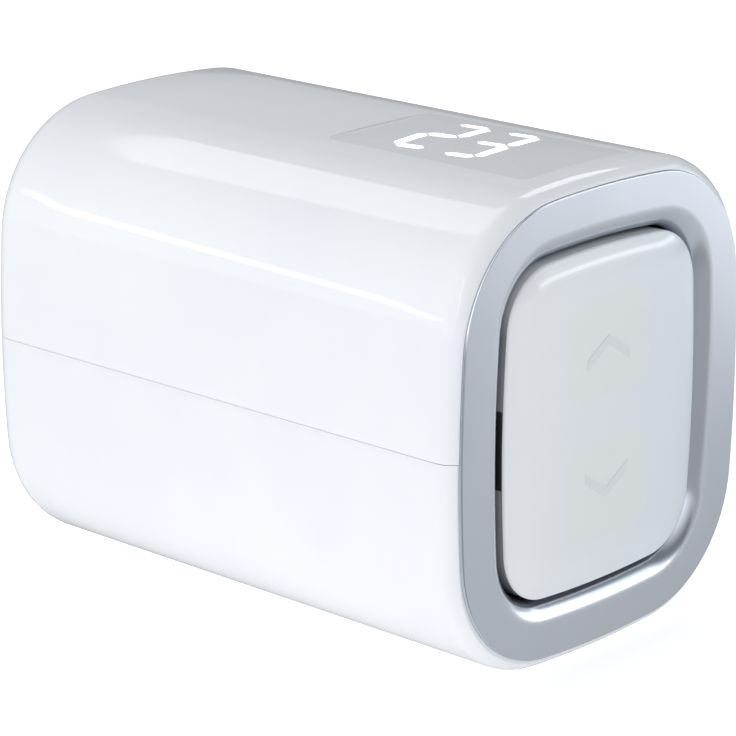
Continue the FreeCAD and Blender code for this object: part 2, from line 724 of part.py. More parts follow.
def segment_block(digit, name, low=0.0, high=LARGE):
    """upright block with the segment's six-sided outline"""
    first, second = segment_ends(name)
    along = (second[0] - first[0], second[1] - first[1])
    length = math.hypot(*along)
    unit = (along[0] / length, along[1] / length)
    side = (-unit[1], unit[0])
    half = SEGMENT_STROKE / 2
    start = SEGMENT_GAP
    end = length - SEGMENT_GAP
    corners = ((start, 0), (start + half, half), (end - half, half),
               (end, 0), (end - half, -half), (start + half, -half))
    outline = []
    for distance, offset in corners:
        across = first[0] + unit[0] * distance + side[0] * offset
        up = first[1] + unit[1] * distance + side[1] * offset
        x, y = digit_point(digit, across, up)
        outline.append(Vector(x, y, low))
    return Part.Face(Part.makePolygon(outline + outline[:1])).extrude(Vector(0, 0, high - low))


def segments(lit):
    """light guides through the window, lit or dark, flush with its top"""
    guides = []
    for digit in range(len(LIT)):
        for name in SEGMENT_NAMES:
            if (name in LIT[digit]) == lit:
                guide = segment_block(digit, name).common(housing_prism(0, 0, HOUSING_LENGTH))
                guides.append(guide.cut(housing_prism(WALL, -PAST, HOUSING_LENGTH + PAST)))
    return group(guides)


def display_box_span():
    """the display box's low and high corners, over the main board and under the window"""
    middle = digit_point(0, 0, 0)[1] - DIGIT_PITCH / 2
    low = (-DISPLAY_BOX_WIDTH / 2, middle - DISPLAY_BOX_LENGTH / 2, MAIN_BOARD_Z + BOARD_THICKNESS)
    high = (DISPLAY_BOX_WIDTH / 2, middle + DISPLAY_BOX_LENGTH / 2, LARGE)
    return low, high


def display_box():
    """light box with one well under each segment"""
    low, high = display_box_span()
    body = box(low, high).common(housing_prism(WALL + SEAT_GAP, 0, HOUSING_LENGTH))
    for digit in range(len(LIT)):
        for name in SEGMENT_NAMES:
            body = body.cut(segment_block(digit, name))
    return body


def display_leds():
    """one small lamp in each well"""
    lamps = []
    for digit in range(len(LIT)):
        for name in SEGMENT_NAMES:
            first, second = segment_ends(name)
            x, y = digit_point(digit, (first[0] + second[0]) / 2, (first[1] + second[1]) / 2)
            half = SEGMENT_STROKE / 4
            base = MAIN_BOARD_Z + BOARD_THICKNESS
            lamps.append(box((x - half, y - half, base), (x + half, y + half, base + 2 * half)))
    return group(lamps)


# Main board

def main_board():
    half = MAIN_BOARD_HALF
    high = (half, MAIN_BOARD_END, MAIN_BOARD_Z + BOARD_THICKNESS)
    board = box((-half, MAIN_BOARD_FRONT, MAIN_BOARD_Z), high)
    for x, y in board_posts():
        board = board.cut(post(BOARD_SCREW_RADIUS + SCREW_FIT, 0, LARGE, x, y))
    return board


def board_screws():
    screws = []
    for x, y in board_posts():
        end = MAIN_BOARD_Z + BOARD_THICKNESS + 2 * BOARD_SCREW_RADIUS
        shank = post(BOARD_SCREW_RADIUS, MAIN_BOARD_Z, end, x, y)
        head = post(BOARD_POST_RADIUS, MAIN_BOARD_Z - BOARD_SCREW_RADIUS, MAIN_BOARD_Z, x, y)
        screws.append(joined([shank, head]))
    return group(screws)


def board_components():
    """controller, capacitor and motor driver in a row on the underside of the main board"""
    row = shield_start() + SHIELD_LENGTH + COMPONENT_GAP
    controller = chip(CONTROLLER_X, row, CONTROLLER_SIZE, CONTROLLER_SIZE, CONTROLLER_HEIGHT)
    driver = chip(DRIVER_X, row, DRIVER_WIDTH, DRIVER_LENGTH, DRIVER_HEIGHT)
    low = MAIN_BOARD_Z - CAPACITOR_HEIGHT
    capacitor = post(CAPACITOR_RADIUS, low, MAIN_BOARD_Z, CAPACITOR_X, row + CAPACITOR_RADIUS)
    return group([controller, driver, capacitor])


def chip(x, start, width, length, height):
    """a flat block under the main board, with its middle at x"""
    return box((x - width / 2, start, MAIN_BOARD_Z - height), (x + width / 2, start + length, MAIN_BOARD_Z))


def shield_start():
    """y of the radio shield's front, clear of the flat cable's end"""
    return MAIN_BOARD_FRONT + CABLE_WIDTH / 2 + FACE_GAP


def radio_shield():
    return chip(0, shield_start(), SHIELD_WIDTH, SHIELD_LENGTH, SHIELD_HEIGHT)


# Chassis and batteries

def bulkhead(start):
    return housing_prism(WALL + FRAME_FIT, start, start + BULKHEAD)


def chassis():
    """tray over the cells between two bulkheads, screw posts, and the shroud round the union nut"""
    low = (-DECK_HALF_WIDTH, FRONT_BULKHEAD, DECK_BOTTOM - CRADLE_DROP)
    deck = box(low, (DECK_HALF_WIDTH, REAR_BULKHEAD_BACK, DECK_TOP))
    side_room = CELL_SPREAD + CELL_RADIUS + CRADLE_FIT + DECK_THICKNESS
    for side in both_sides():
        xs = sorted((side * side_room, side * LARGE))
        low = (xs[0], CELL_BAY, -LARGE)
        deck = deck.cut(box(low, (xs[1], REAR_BULKHEAD, DECK_BOTTOM)))
    for start, end in ((CELL_BAY, CELL_START), (CELL_END, REAR_BULKHEAD)):
        deck = deck.cut(box((-LARGE, start, -LARGE), (LARGE, end, DECK_BOTTOM)))
    posts = [post(POST_RADIUS, DECK_BOTTOM, POST_TOP, x, y) for x, y in post_places()]
    shroud_radius = NUT_RADIUS + WELL_GAP
    shroud = ring(shroud_radius + SHROUD_WALL, shroud_radius, REAR_BULKHEAD, REAR_WALL - FRAME_FIT)
    body = joined([deck, bulkhead(FRONT_BULKHEAD), bulkhead(REAR_BULKHEAD), shroud] + posts)
    for side in both_sides():
        body = body.cut(rod(CRADLE_RADIUS, CELL_BAY, REAR_BULKHEAD, (side * CELL_SPREAD, CELL_Z)))
    for x, y in post_places():
        body = body.cut(post(SCREW_RADIUS + SCREW_FIT, -LARGE, LARGE, x, y))
        body = body.cut(post(SCREW_HEAD_RADIUS + SCREW_FIT, -LARGE, screw_seat(), x, y))
    body = body.cut(rod(COLLAR_RADIUS + FRAME_FIT, REAR_BULKHEAD - PAST, REAR_BULKHEAD_BACK + PAST))
    gear_end = PLANE_A + NUT_FACE + DECK_GEAR_GAP
    body = body.cut(rod(NUT_TIP + DECK_GEAR_GAP, PLANE_A - DECK_GEAR_GAP, gear_end))
    for x, z in collar_screw_places():
        body = body.cut(rod(SCREW_RADIUS, REAR_BULKHEAD - PAST, REAR_BULKHEAD_BACK + PAST, (x, z)))
    return body.cut(cable_slot(FRONT_BULKHEAD - PAST, CELL_BAY + PAST))


def screw_seat():
    """height of the seats of the four shell screws' heads"""
    return POST_TOP - POST_RADIUS


def shell_screws():
    screws = []
    for x, y in post_places():
        shank = post(SCREW_RADIUS, screw_seat(), POST_TOP + SCREW_LENGTH - SCREW_FIT, x, y)
        head = post(SCREW_HEAD_RADIUS, screw_seat() - SCREW_HEAD, screw_seat(), x, y)
        screws.append(joined([shank, head]))
    return group(screws)


def cell(side):
    """one cell; the left one's tip points to the front, the right one's to the back"""
    at = (side * CELL_SPREAD, CELL_Z)
    if side < 0:
        can = rod(CELL_RADIUS, CELL_START + CELL_NIPPLE_LENGTH, CELL_END, at)
        nipple = rod(CELL_NIPPLE_RADIUS, CELL_START, CELL_START + CELL_NIPPLE_LENGTH, at)
    else:
        can = rod(CELL_RADIUS, CELL_START, CELL_END - CELL_NIPPLE_LENGTH, at)
        nipple = rod(CELL_NIPPLE_RADIUS, CELL_END - CELL_NIPPLE_LENGTH, CELL_END, at)
    can_ends = edges_at(can, CELL_END if side < 0 else CELL_START)
    can = can.makeFillet(CELL_EDGE_ROUND, can_ends)
    return joined([can, nipple])


def contact_sheet(first, last, wall, inwards):
    """a contact plate against a bulkhead, with a bowed leaf for each cell from the first x to the last"""
    half = CONTACT_SIZE / 2
    near = wall + inwards * CONTACT_SHEET
    ys = sorted((wall, near))
    pieces = [box((first - half, ys[0], CELL_Z - half), (last + half, ys[1], CELL_Z + half))]
    for x in sorted({first, last}):
        pieces.append(contact_leaf(x, near, wall + inwards * (CONTACT_ROOM - CONTACT_GAP), inwards))
    return joined(pieces)


def contact_leaf(x, near, tip, inwards):
    """bowed strip from the contact plate to just short of the cell's end"""
    outer = CONTACT_SIZE / 4
    inner = CONTACT_SIZE / 6

    def at(across, y):
        return Vector(x + across, y, CELL_Z - CONTACT_SIZE / 4)

    lines = [Part.Arc(at(-outer, near), at(0, tip), at(outer, near)).toShape(),
             Part.makeLine(at(outer, near), at(inner, near)),
             Part.Arc(at(inner, near), at(0, tip - inwards * CONTACT_SHEET), at(-inner, near)).toShape(),
             Part.makeLine(at(-inner, near), at(-outer, near))]
    return Part.Face(Part.Wire(lines)).extrude(Vector(0, 0, CONTACT_SIZE / 2))


# Gearbox

def gear_2_centre():
    return away((0, 0), GEAR_2_ANGLE, GEAR_2_DISTANCE)


def gear_1_centre():
    return away(gear_2_centre(), GEAR_1_ANGLE, GEAR_1_DISTANCE)


def motor_centre():
    return away(gear_1_centre(), MOTOR_ANGLE, MOTOR_DISTANCE)


def toothed(teeth, addendum, start, width, at, phase):
    """a spur gear with involute flanks; one tooth is centred on the angle phase"""
    pitch = MODULE * teeth / 2
    base = pitch * math.cos(math.radians(PRESSURE_ANGLE))
    tip = pitch + addendum
    root = pitch - DEDENDUM
    half_at_pitch = (math.pi * MODULE / 2 - BACKLASH) / (2 * pitch)

    def involute(radius):
        pressure = math.acos(min(1.0, base / radius))
        return math.tan(pressure) - pressure

    def half_angle(radius):
        return half_at_pitch + involute(pitch) - involute(radius)

    def place(radius, angle):
        return Vector(at[0] + radius * math.cos(angle), start, at[1] + radius * math.sin(angle))

    flank_start = max(base, root)
    radii = [flank_start + (tip - flank_start) * k / 4 for k in range(5)]
    step = 2 * math.pi / teeth
    edges = []
    for tooth in range(teeth):
        centre = math.radians(phase) + tooth * step
        rising = [place(r, centre - half_angle(r)) for r in radii]
        falling = [place(r, centre + half_angle(r)) for r in reversed(radii)]
        before = centre - step + half_angle(flank_start)
        after = centre - half_angle(flank_start)
        root_start = place(root, before)
        root_end = place(root, after)
        if root < base:
            edges.append(Part.makeLine(place(flank_start, before), root_start))
        edges.append(Part.Arc(root_start, place(root, (before + after) / 2), root_end).toShape())
        if root < base:
            edges.append(Part.makeLine(root_end, rising[0]))
        for points in (rising, falling):
            curve = Part.BSplineCurve()
            curve.interpolate(points)
            edges.append(curve.toShape())
            if points is rising:
                edges.append(Part.Arc(rising[-1], place(tip, centre), falling[0]).toShape())
    return Part.Face(Part.Wire(edges)).extrude(Vector(0, width, 0))


def mate_phase(phase, teeth, direction, mate_teeth):
    """phase of a gear in mesh: direction is the angle from the first gear's centre to the mate's"""
    return direction + 180.0 + 180.0 / mate_teeth + (direction - phase) * teeth / mate_teeth


def gear_2_phase():
    """phase of gear 2's pinion, shared by its wheel"""
    return mate_phase(NUT_PHASE, NUT_TEETH, GEAR_2_ANGLE, PINION_TEETH)


def gear_1_phase():
    return mate_phase(gear_2_phase(), WHEEL_2_TEETH, GEAR_1_ANGLE, PINION_TEETH)


def motor_phase():
    return mate_phase(gear_1_phase(), WHEEL_1_TEETH, MOTOR_ANGLE, PINION_TEETH)


def drive_nut():
    """the nut that the spindle screws through, with its gear, a journal in the base and one in the cover"""
    wheel = toothed(NUT_TEETH, GEAR_ADDENDUM, PLANE_A, NUT_FACE, (0, 0), NUT_PHASE)
    hub = rod(NUT_HUB_RADIUS, BASE_BACK + WASHER_THICKNESS + CONTACT_GAP, COVER_BACK)
    journal = rod(NUT_JOURNAL_RADIUS, BASE_FRONT + CONTACT_GAP, PLANE_C)
    body = joined([wheel, hub, journal])
    return body.cut(rod(SPINDLE_RADIUS + RUNNING_FIT, 0, LARGE))


def reduction_gear_2():
    """wheel driven by gear 1, pinion that drives the nut"""
    at = gear_2_centre()
    wheel = toothed(WHEEL_2_TEETH, GEAR_ADDENDUM, PLANE_B, WHEEL_FACE, at, gear_2_phase())
    width = FACE_GAP + NUT_FACE
    pinion = toothed(PINION_TEETH, PINION_ADDENDUM, PLANE_B + WHEEL_FACE, width, at, gear_2_phase())
    hub = rod(THIN_HUB_RADIUS, BASE_BACK + SEAT_GAP, COVER_FRONT - SEAT_GAP, at)
    return joined([wheel, pinion, hub]).cut(rod(AXLE_RADIUS + RUNNING_FIT, 0, LARGE, at))


def reduction_gear_1():
    """wheel driven by the motor pinion, pinion that drives gear 2"""
    at = gear_1_centre()
    wheel = toothed(WHEEL_1_TEETH, GEAR_ADDENDUM, PLANE_C, WHEEL_FACE, at, gear_1_phase())
    width = FACE_GAP + WHEEL_FACE
    pinion = toothed(PINION_TEETH, PINION_ADDENDUM, PLANE_C + WHEEL_FACE, width, at, gear_1_phase())
    hub = rod(HUB_RADIUS, BASE_BACK + SEAT_GAP, COVER_FRONT - SEAT_GAP, at)
    return joined([wheel, pinion, hub]).cut(rod(AXLE_RADIUS + RUNNING_FIT, 0, LARGE, at))


def motor_pinion():
    at = motor_centre()
    teeth = toothed(PINION_TEETH, PINION_ADDENDUM, PLANE_C, WHEEL_FACE, at, motor_phase())
    return teeth.cut(rod(MOTOR_SHAFT_RADIUS, 0, LARGE, at))


def motor_shaft():
    return rod(MOTOR_SHAFT_RADIUS, BASE_FRONT - MOTOR_LENGTH / 2, PLANE_C + WHEEL_FACE, motor_centre())


def motor():
    """flat-sided can, end bell and front boss"""
    at = motor_centre()
    can = rod(MOTOR_RADIUS, BASE_FRONT - MOTOR_LENGTH, BASE_FRONT, at)
    low = (at[0] - MOTOR_RADIUS, 0, at[1] - MOTOR_FLAT)
    can = can.common(box(low, (at[0] + MOTOR_RADIUS, LARGE, at[1] + MOTOR_FLAT)))
    back = BASE_FRONT - MOTOR_LENGTH
    bell = rod(MOTOR_FLAT - FRAME_FIT, back - MOTOR_BELL, back, at)
    boss = rod(MOTOR_BOSS_RADIUS, BASE_FRONT, BASE_FRONT + MOTOR_BOSS, at)
    body = joined([can, bell, boss])
    return body.cut(rod(MOTOR_SHAFT_RADIUS + RUNNING_FIT, BASE_FRONT - MOTOR_LENGTH / 2 - PAST, LARGE, at))


def motor_leads():
    """two short leads from the motor's end bell up to the main board"""
    at = motor_centre()
    back = BASE_FRONT - MOTOR_LENGTH - MOTOR_BELL
    leads = []
    for side in both_sides():
        x = at[0] + side * MOTOR_FLAT / 2
        foot = back - 3 * LEAD_RADIUS
        stub = rod(LEAD_RADIUS, foot - 2 * LEAD_RADIUS, back, (x, at[1]))
        rise = post(1.2 * LEAD_RADIUS, at[1] - 2 * LEAD_RADIUS, MAIN_BOARD_Z, x, foot)
        leads.append(joined([stub, rise]))
    return group(leads)


def plate_outline(start, end):
    """the outline that both gearbox plates share: it stands on the deck and follows the housing"""
    left = gear_2_centre()[0] - MODULE * WHEEL_2_TEETH / 2 - GEAR_ADDENDUM - FACE_GAP
    right = max(x for x, z in pillar_places()) + PILLAR_RADIUS + FACE_GAP
    block = box((left, start, DECK_TOP + FRAME_FIT), (right, end, LARGE))
    return block.common(housing_prism(WALL + FACE_GAP, start, end))


def leg_places():
    """(x, z) of the three pillars round the nut's gear that go on to the rear bulkhead"""
    reach = NUT_TIP + PILLAR_RADIUS + PILLAR_ROOM
    return [away((0, 0), angle, reach)
            for angle in (SIDE_PILLAR_ANGLE, -LOW_PILLAR_ANGLE, 180 + LOW_PILLAR_ANGLE)]


def pillar_places():
    """(x, z) of all four pillars: the legs, and one beside the motor"""
    x, z = motor_centre()
    return leg_places() + [(x + MOTOR_RADIUS + SCREW_HEAD_RADIUS + FACE_GAP, z)]


def gearbox_base():
    """front plate: motor seat, nut journal bearing, axle seats"""
    plate = plate_outline(BASE_FRONT, BASE_BACK)
    plate = plate.cut(rod(NUT_JOURNAL_RADIUS + RUNNING_FIT, 0, LARGE))
    plate = plate.cut(rod(MOTOR_BOSS_RADIUS + RUNNING_FIT, 0, LARGE, motor_centre()))
    for at in (gear_1_centre(), gear_2_centre()):
        plate = plate.cut(rod(AXLE_RADIUS, 0, LARGE, at))
    for at in pillar_places():
        plate = plate.cut(rod(SCREW_RADIUS + SCREW_FIT, 0, LARGE, at))
    return plate


def gearbox_cover():
    """rear plate with pillars to the base and legs to the rear bulkhead"""
    pieces = [plate_outline(COVER_FRONT, COVER_BACK)]
    for at in pillar_places():
        end = REAR_BULKHEAD if at in leg_places() else COVER_BACK
        pieces.append(rod(PILLAR_RADIUS, BASE_BACK, end, at))
    body = joined(pieces)
    body = body.cut(rod(NUT_HUB_RADIUS + RUNNING_FIT, 0, LARGE))
    for at in (gear_1_centre(), gear_2_centre()):
        body = body.cut(rod(AXLE_RADIUS, 0, LARGE, at))
    for at in pillar_places():
        body = body.cut(rod(SCREW_RADIUS, 0, BASE_BACK + SCREW_LENGTH, at))
    return body


def gearbox_screws():
    screws = []
    for at in pillar_places():
        shank = rod(SCREW_RADIUS, BASE_FRONT, BASE_BACK + SCREW_LENGTH - SCREW_HEAD, at)
        head = rod(SCREW_HEAD_RADIUS, BASE_FRONT - SCREW_HEAD, BASE_FRONT, at)
        screws.append(joined([shank, head]))
    return group(screws)


def gear_axles():
    return group([rod(AXLE_RADIUS, BASE_FRONT, COVER_BACK, at) for at in (gear_1_centre(), gear_2_centre())])


def thrust_washer():
    return ring(WASHER_RADIUS, NUT_JOURNAL_RADIUS + RUNNING_FIT, BASE_BACK, BASE_BACK + WASHER_THICKNESS)


def spindle_guide():
    """plate with a square hole that keeps the spindle from turning"""
    half = SPINDLE_SQUARE / 2 + RUNNING_FIT
    body = rod(GUIDE_RADIUS, GUIDE_FRONT, BASE_FRONT)
    return body.cut(box((-half, 0, -half), (half, LARGE, half)))


def spindle():
    """square tail, threaded part and push disc, drawn with the valve open"""
    half = SPINDLE_SQUARE / 2
    thread_start = BASE_BACK + FRAME_FIT
    tail = box((-half, GUIDE_FRONT - SPINDLE_TAIL + STROKE, -half), (half, thread_start, half))
    screw = rod(SPINDLE_RADIUS, thread_start, DISC_FRONT)
    disc = rod(PUSH_DISC_RADIUS, DISC_FRONT, PUSH_FACE)
    return joined([tail, screw, disc])


# Valve connection

def collar_screw_places():
    """(x, z) of the screws through the collar's flange"""
    middle = (COLLAR_RADIUS + COLLAR_FLANGE_RADIUS) / 2
    step = 360 / COLLAR_SCREWS
    return [away((0, 0), (k + 0.5) * step, middle) for k in range(COLLAR_SCREWS)]


def mount_collar():
    """fixed neck that the valve seats against; its flange is screwed to the rear bulkhead"""
    body = joined([rod(COLLAR_FLANGE_RADIUS, REAR_BULKHEAD_BACK, REAR_BULKHEAD_BACK + COLLAR_FLANGE),
                   rod(COLLAR_RADIUS, REAR_BULKHEAD, COLLAR_END)])
    body = body.cut(rod(COLLAR_BORE, 0, LARGE))
    groove = ring(LARGE, COLLAR_RADIUS - RING_GROOVE, RING_START, RING_START + RING_THICKNESS)
    body = body.cut(groove)
    for at in collar_screw_places():
        body = body.cut(rod(SCREW_RADIUS + SCREW_FIT, REAR_BULKHEAD_BACK - PAST, LARGE, at))
    return body


def collar_screws():
    """screws from inside the flange into the bulkhead, with low heads that clear the union nut"""
    screws = []
    top = REAR_BULKHEAD_BACK + COLLAR_FLANGE
    for at in collar_screw_places():
        shank = rod(SCREW_RADIUS, REAR_BULKHEAD, top, at)
        head = rod(SCREW_HEAD_RADIUS, top, top + COLLAR_HEAD, at)
        screws.append(joined([shank, head]))
    return group(screws)


def retaining_ring():
    """open ring in the collar's groove that holds the union nut on"""
    end = RING_START + RING_THICKNESS
    body = ring(COLLAR_RADIUS + RING_PROUD, COLLAR_RADIUS - RING_GROOVE, RING_START, end)
    half = RING_THICKNESS
    return body.cut(box((-half, 0, 0), (half, LARGE, LARGE)))


def union_nut():
    """ring nut for the valve's thread, with scallops to grip it by"""
    body = rod(NUT_RADIUS, NUT_START, NUT_END)
    body = body.makeChamfer(MOUTH_CHAMFER, edges_at(body, NUT_END) + edges_at(body, NUT_START))
    for k in range(NUT_SCALLOPS):
        at = away((0, 0), 360.0 * k / NUT_SCALLOPS, NUT_RADIUS + SCALLOP_RADIUS / 2)
        body = body.cut(rod(SCALLOP_RADIUS, NUT_START - PAST, NUT_END + PAST, at))
    relief = rod(THREAD_RADIUS + THREAD_RELIEF, NUT_START + NUT_FLANGE, THREAD_START)
    body = body.cut(relief).cut(rod(THREAD_RADIUS, NUT_START + NUT_FLANGE, NUT_END + PAST))
    mouth = Part.makeCone(THREAD_RADIUS, THREAD_RADIUS + MOUTH_CHAMFER, MOUTH_CHAMFER,
                          Vector(0, THREAD_END, 0), Vector(0, 1, 0))
    return body.cut(mouth).cut(rod(COLLAR_RADIUS + FRAME_FIT, NUT_START - 1, NUT_END))


PARTS = {
    "upper_shell": upper_shell,
    "lower_shell": lower_shell,
    "front_bezel": front_bezel,
    "rocker_key": rocker_key,
    "key_marks": key_marks,
    "rocker_carrier": rocker_carrier,
    "front_frame": front_frame,
    "switch_board": switch_board,
    "switch_bodies": switch_bodies,
    "upper_plunger": lambda: plunger(1),
    "lower_plunger": lambda: plunger(-1),
    "temperature_sensor": temperature_sensor,
    "flex_cable": flex_cable,
    "display_window": display_window,
    "lit_segments": lambda: segments(True),
    "dark_segments": lambda: segments(False),
    "display_box": display_box,
    "display_leds": display_leds,
    "main_board": main_board,
    "board_screws": board_screws,
    "board_components": board_components,
    "radio_shield": radio_shield,
    "chassis": chassis,
    "shell_screws": shell_screws,
    "battery_left": lambda: cell(-1),
    "battery_right": lambda: cell(1),
    "contact_plus": lambda: contact_sheet(-CELL_SPREAD, -CELL_SPREAD, CELL_BAY, 1),
    "contact_minus": lambda: contact_sheet(CELL_SPREAD, CELL_SPREAD, CELL_BAY, 1),
    "contact_bridge": lambda: contact_sheet(-CELL_SPREAD, CELL_SPREAD, REAR_BULKHEAD, -1),
    "motor": motor,
    "motor_shaft": motor_shaft,
    "motor_pinion": motor_pinion,
    "motor_leads": motor_leads,
    "reduction_gear_1": reduction_gear_1,
    "reduction_gear_2": reduction_gear_2,
    "gear_axles": gear_axles,
    "drive_nut": drive_nut,
    "thrust_washer": thrust_washer,
    "spindle": spindle,
    "spindle_guide": spindle_guide,
    "gearbox_base": gearbox_base,
    "gearbox_cover": gearbox_cover,
    "gearbox_screws": gearbox_screws,
    "mount_collar": mount_collar,
    "collar_screws": collar_screws,
    "retaining_ring": retaining_ring,
    "union_nut": union_nut,
}

os.makedirs("parts", exist_ok=True)
for name, build in PARTS.items():
    shape = build()
    shape.translate(Vector(0, -THREAD_END, 0))
    if not shape.isValid():
        print("not valid:", name)
    print(name, "solids", len(shape.Solids), "volume", round(shape.Volume, 1))
    shape.exportStep("parts/" + name + ".step")
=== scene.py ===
import json
import math

import bmesh
import bpy
from mathutils import Matrix, Vector

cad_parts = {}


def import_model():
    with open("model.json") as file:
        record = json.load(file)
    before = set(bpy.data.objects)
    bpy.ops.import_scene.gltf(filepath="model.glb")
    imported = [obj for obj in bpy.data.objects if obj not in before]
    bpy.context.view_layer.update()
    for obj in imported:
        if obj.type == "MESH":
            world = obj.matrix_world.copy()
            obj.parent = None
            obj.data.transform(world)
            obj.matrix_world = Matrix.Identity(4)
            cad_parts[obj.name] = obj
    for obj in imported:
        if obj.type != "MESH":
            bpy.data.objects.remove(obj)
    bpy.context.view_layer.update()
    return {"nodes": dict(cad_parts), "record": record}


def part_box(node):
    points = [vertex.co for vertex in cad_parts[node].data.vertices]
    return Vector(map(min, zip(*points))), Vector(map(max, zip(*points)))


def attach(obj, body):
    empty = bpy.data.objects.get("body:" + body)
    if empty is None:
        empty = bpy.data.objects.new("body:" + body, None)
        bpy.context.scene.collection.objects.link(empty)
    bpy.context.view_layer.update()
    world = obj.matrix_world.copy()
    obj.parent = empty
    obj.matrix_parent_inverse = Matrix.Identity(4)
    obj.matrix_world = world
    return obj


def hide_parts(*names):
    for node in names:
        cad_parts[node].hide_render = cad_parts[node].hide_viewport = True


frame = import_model()
nodes = frame["nodes"]

# Sizes in millimetres, y counted back from the bezel's front plane. The object's origin is on the
# valve axis, THREAD_END behind that plane.
MM = 0.001
CLOSE = 1e-7
THREAD_END = 83.7009

HOUSING_WIDTH = 55.0
HOUSING_HEIGHT = 60.3
HOUSING_LENGTH = 79.7009
WALL = 1.9
CORNER = 17.1
SIDE_CROWN = 185.0
TOP_CROWN = 154.0
FRONT_ROUND = 2.8
REAR_ROUND = 3.3
ROUND_STEPS = 7
STRAIGHT_STEPS = 8
SEAT_SOFT = 0.12
WELL_SOFT = 0.3
WELL_RADIUS = 19.3
REAR_WALL = HOUSING_LENGTH - WALL
FOOT = -30.0
COVER_START = 0.5
SEAM_HALF = 0.04
SEAM_SOFT = 0.04

# bars inside the sides: sections of (inset from the side, height) points, and where each bar starts and ends
TONGUE = ((2.7, -1.2), (2.0, -1.2), (2.0, 0.1), (0.95, 0.1), (0.95, 2.5), (2.7, 2.5))
TONGUE_SPANS = ((11.35, 16.75), (25.25, 41.85), (50.35, 64.35), (66.35, 77.8))
SEAM_LIP = ((1.6, -0.03), (0.12, -0.03), (0.12, 1), (1.6, 1))
SEAM_LIP_SPANS = [(FRONT_ROUND + 0.2, HOUSING_LENGTH - REAR_ROUND - 0.1)]
SNAP_TAB = ((1.75, -5), (1.75, -0.2), (2.05, -0.2), (2.05, 2.5), (2.2, 5), (3.15, 5), (3.15, 0), (3.15, -5))
SNAP_TAB_SPANS = [(middle - 4, middle + 4) for middle in (21.0, 46.1)]

WINDOW_WIDTH = 19.6
WINDOW_START = 4.8
WINDOW_LENGTH = 32.0
WINDOW_CORNER = 1.5
WINDOW_FIT = 0.02
WINDOW_SINK = 0.02
WINDOW_BACK = 0.4
WINDOW_LOOPS = 12
OPENING_DEPTH = 4.0
OPENING_RISE = 2.0

BEZEL_WIDTH = 51.9
BEZEL_HEIGHT = 56.9
BEZEL_CORNER = 16.2
BEZEL_DEPTH = 4.2
BEZEL_ROUND = 0.12
BEZEL_STEPS = 4
BEZEL_GROWTH = 0.08
SEAT_FIT = 0.1
SEAT_END = 4.3
LIP_ROUND = 3.0
LIP_MARGIN = 1.5
LIP_STEPS = 16

KEY_WIDTH = 36.0
KEY_HEIGHT = 42.2
KEY_CORNER = 7.6
KEY_GAP = 0.3
KEY_EDGE = 0.55
KEY_BACK = 3.13
KEY_ROUND = 0.4
KEY_WALL = 0.02
KEY_STEP = 0.5
KEY_STEPS = (20, 32, 20)
KEY_TURNS = 6
KEY_LOOPS = 96
PILLOW_RADIUS = 13.5
PILLOW_RIM = 5.0
KEY_FRONT = KEY_EDGE - PILLOW_RADIUS + math.sqrt(PILLOW_RADIUS ** 2 - PILLOW_RIM ** 2)
EDGE_REACH = PILLOW_RADIUS - KEY_ROUND
EDGE_DEPTH = KEY_FRONT + PILLOW_RADIUS - math.sqrt(EDGE_REACH ** 2 - (PILLOW_RIM - KEY_ROUND) ** 2)
FIELD_WIDTH = 16.4
FIELD_HEIGHT = 14.4
FIELD_CORNER = 4.5
FIELD_SINK = 0.03
FIELD_EDGE = 1.2
FIELD_PLACE = 9.0
MARK_WIDTH = 8.0
MARK_RISE = 2.5
MARK_STROKE = 1.3
MARK_PROUD = 0.05
MARK_DEPTH = 0.15
SKIRT_GAP = 0.005
SKIRT_INNER = 0.45
SKIRT_OUTER = 0.02
SKIRT_FRONT = 0.06
SKIRT_BREAK = 0.05
PAD_LOW = -5.4
PAD_HIGH = 4.3
PAD_STEPS = 8
PAD_THICK = 0.25
PAD_SINK = 0.12
PAD_SOFT = 0.03

DIGIT_PITCH = 7.5
DIGIT_SHIFT = 0.5
FIRST_DIGIT = (0.2, 26.5)
ROW_TILT = math.radians(10.5)
SLANT = math.radians(5.0)
HALF_HEIGHT = 6.65
DIGIT_WIDTH = 4.5
STROKE = 1.35
STROKE_GAP = 0.25

NUT_START = 69.2009
NUT_END = 84.2009
NUT_RADIUS = 18.5
NUT_BORE = 12.95
NUT_FLANGE = 2.5
NUT_BREAK = 0.5
SCALLOPS = 24
SCALLOP_PLACE = 19.3
SCALLOP_RADIUS = 1.6
THREAD_RADIUS = 14.19
THREAD_RELIEF = 15.14
THREAD_START = 74.201
THREAD_DEPTH = 0.75
THREAD_PITCH = 1.5
THREAD_MOUTH = 0.5
THREAD_STEEPNESS = 2.6
THREAD_STEPS = 44

CELL_MIDDLE = 37.85
CELL_NIPPLE = 1.3
CELL_FILM = 0.12


# Modelling helpers

def place(x, y, z):
    """a point given in millimetres from the bezel's front plane, in the object's own frame"""
    return Vector((x, y - THREAD_END, z)) * MM


def pick_nothing():
    """object mode with nothing selected"""
    if bpy.context.object and bpy.context.object.mode != "OBJECT":
        bpy.ops.object.mode_set(mode="OBJECT")
    bpy.ops.object.select_all(action="DESELECT")


def pick(piece):
    """the piece alone is selected and active"""
    pick_nothing()
    piece.select_set(True)
    bpy.context.view_layer.objects.active = piece


def start_edit(piece, action="SELECT"):
    """edit mode with everything in the piece selected, or with nothing"""
    pick(piece)
    bpy.ops.object.mode_set(mode="EDIT")
    bpy.ops.mesh.select_all(action=action)


def end_edit():
    """back to object mode"""
    bpy.ops.object.mode_set(mode="OBJECT")


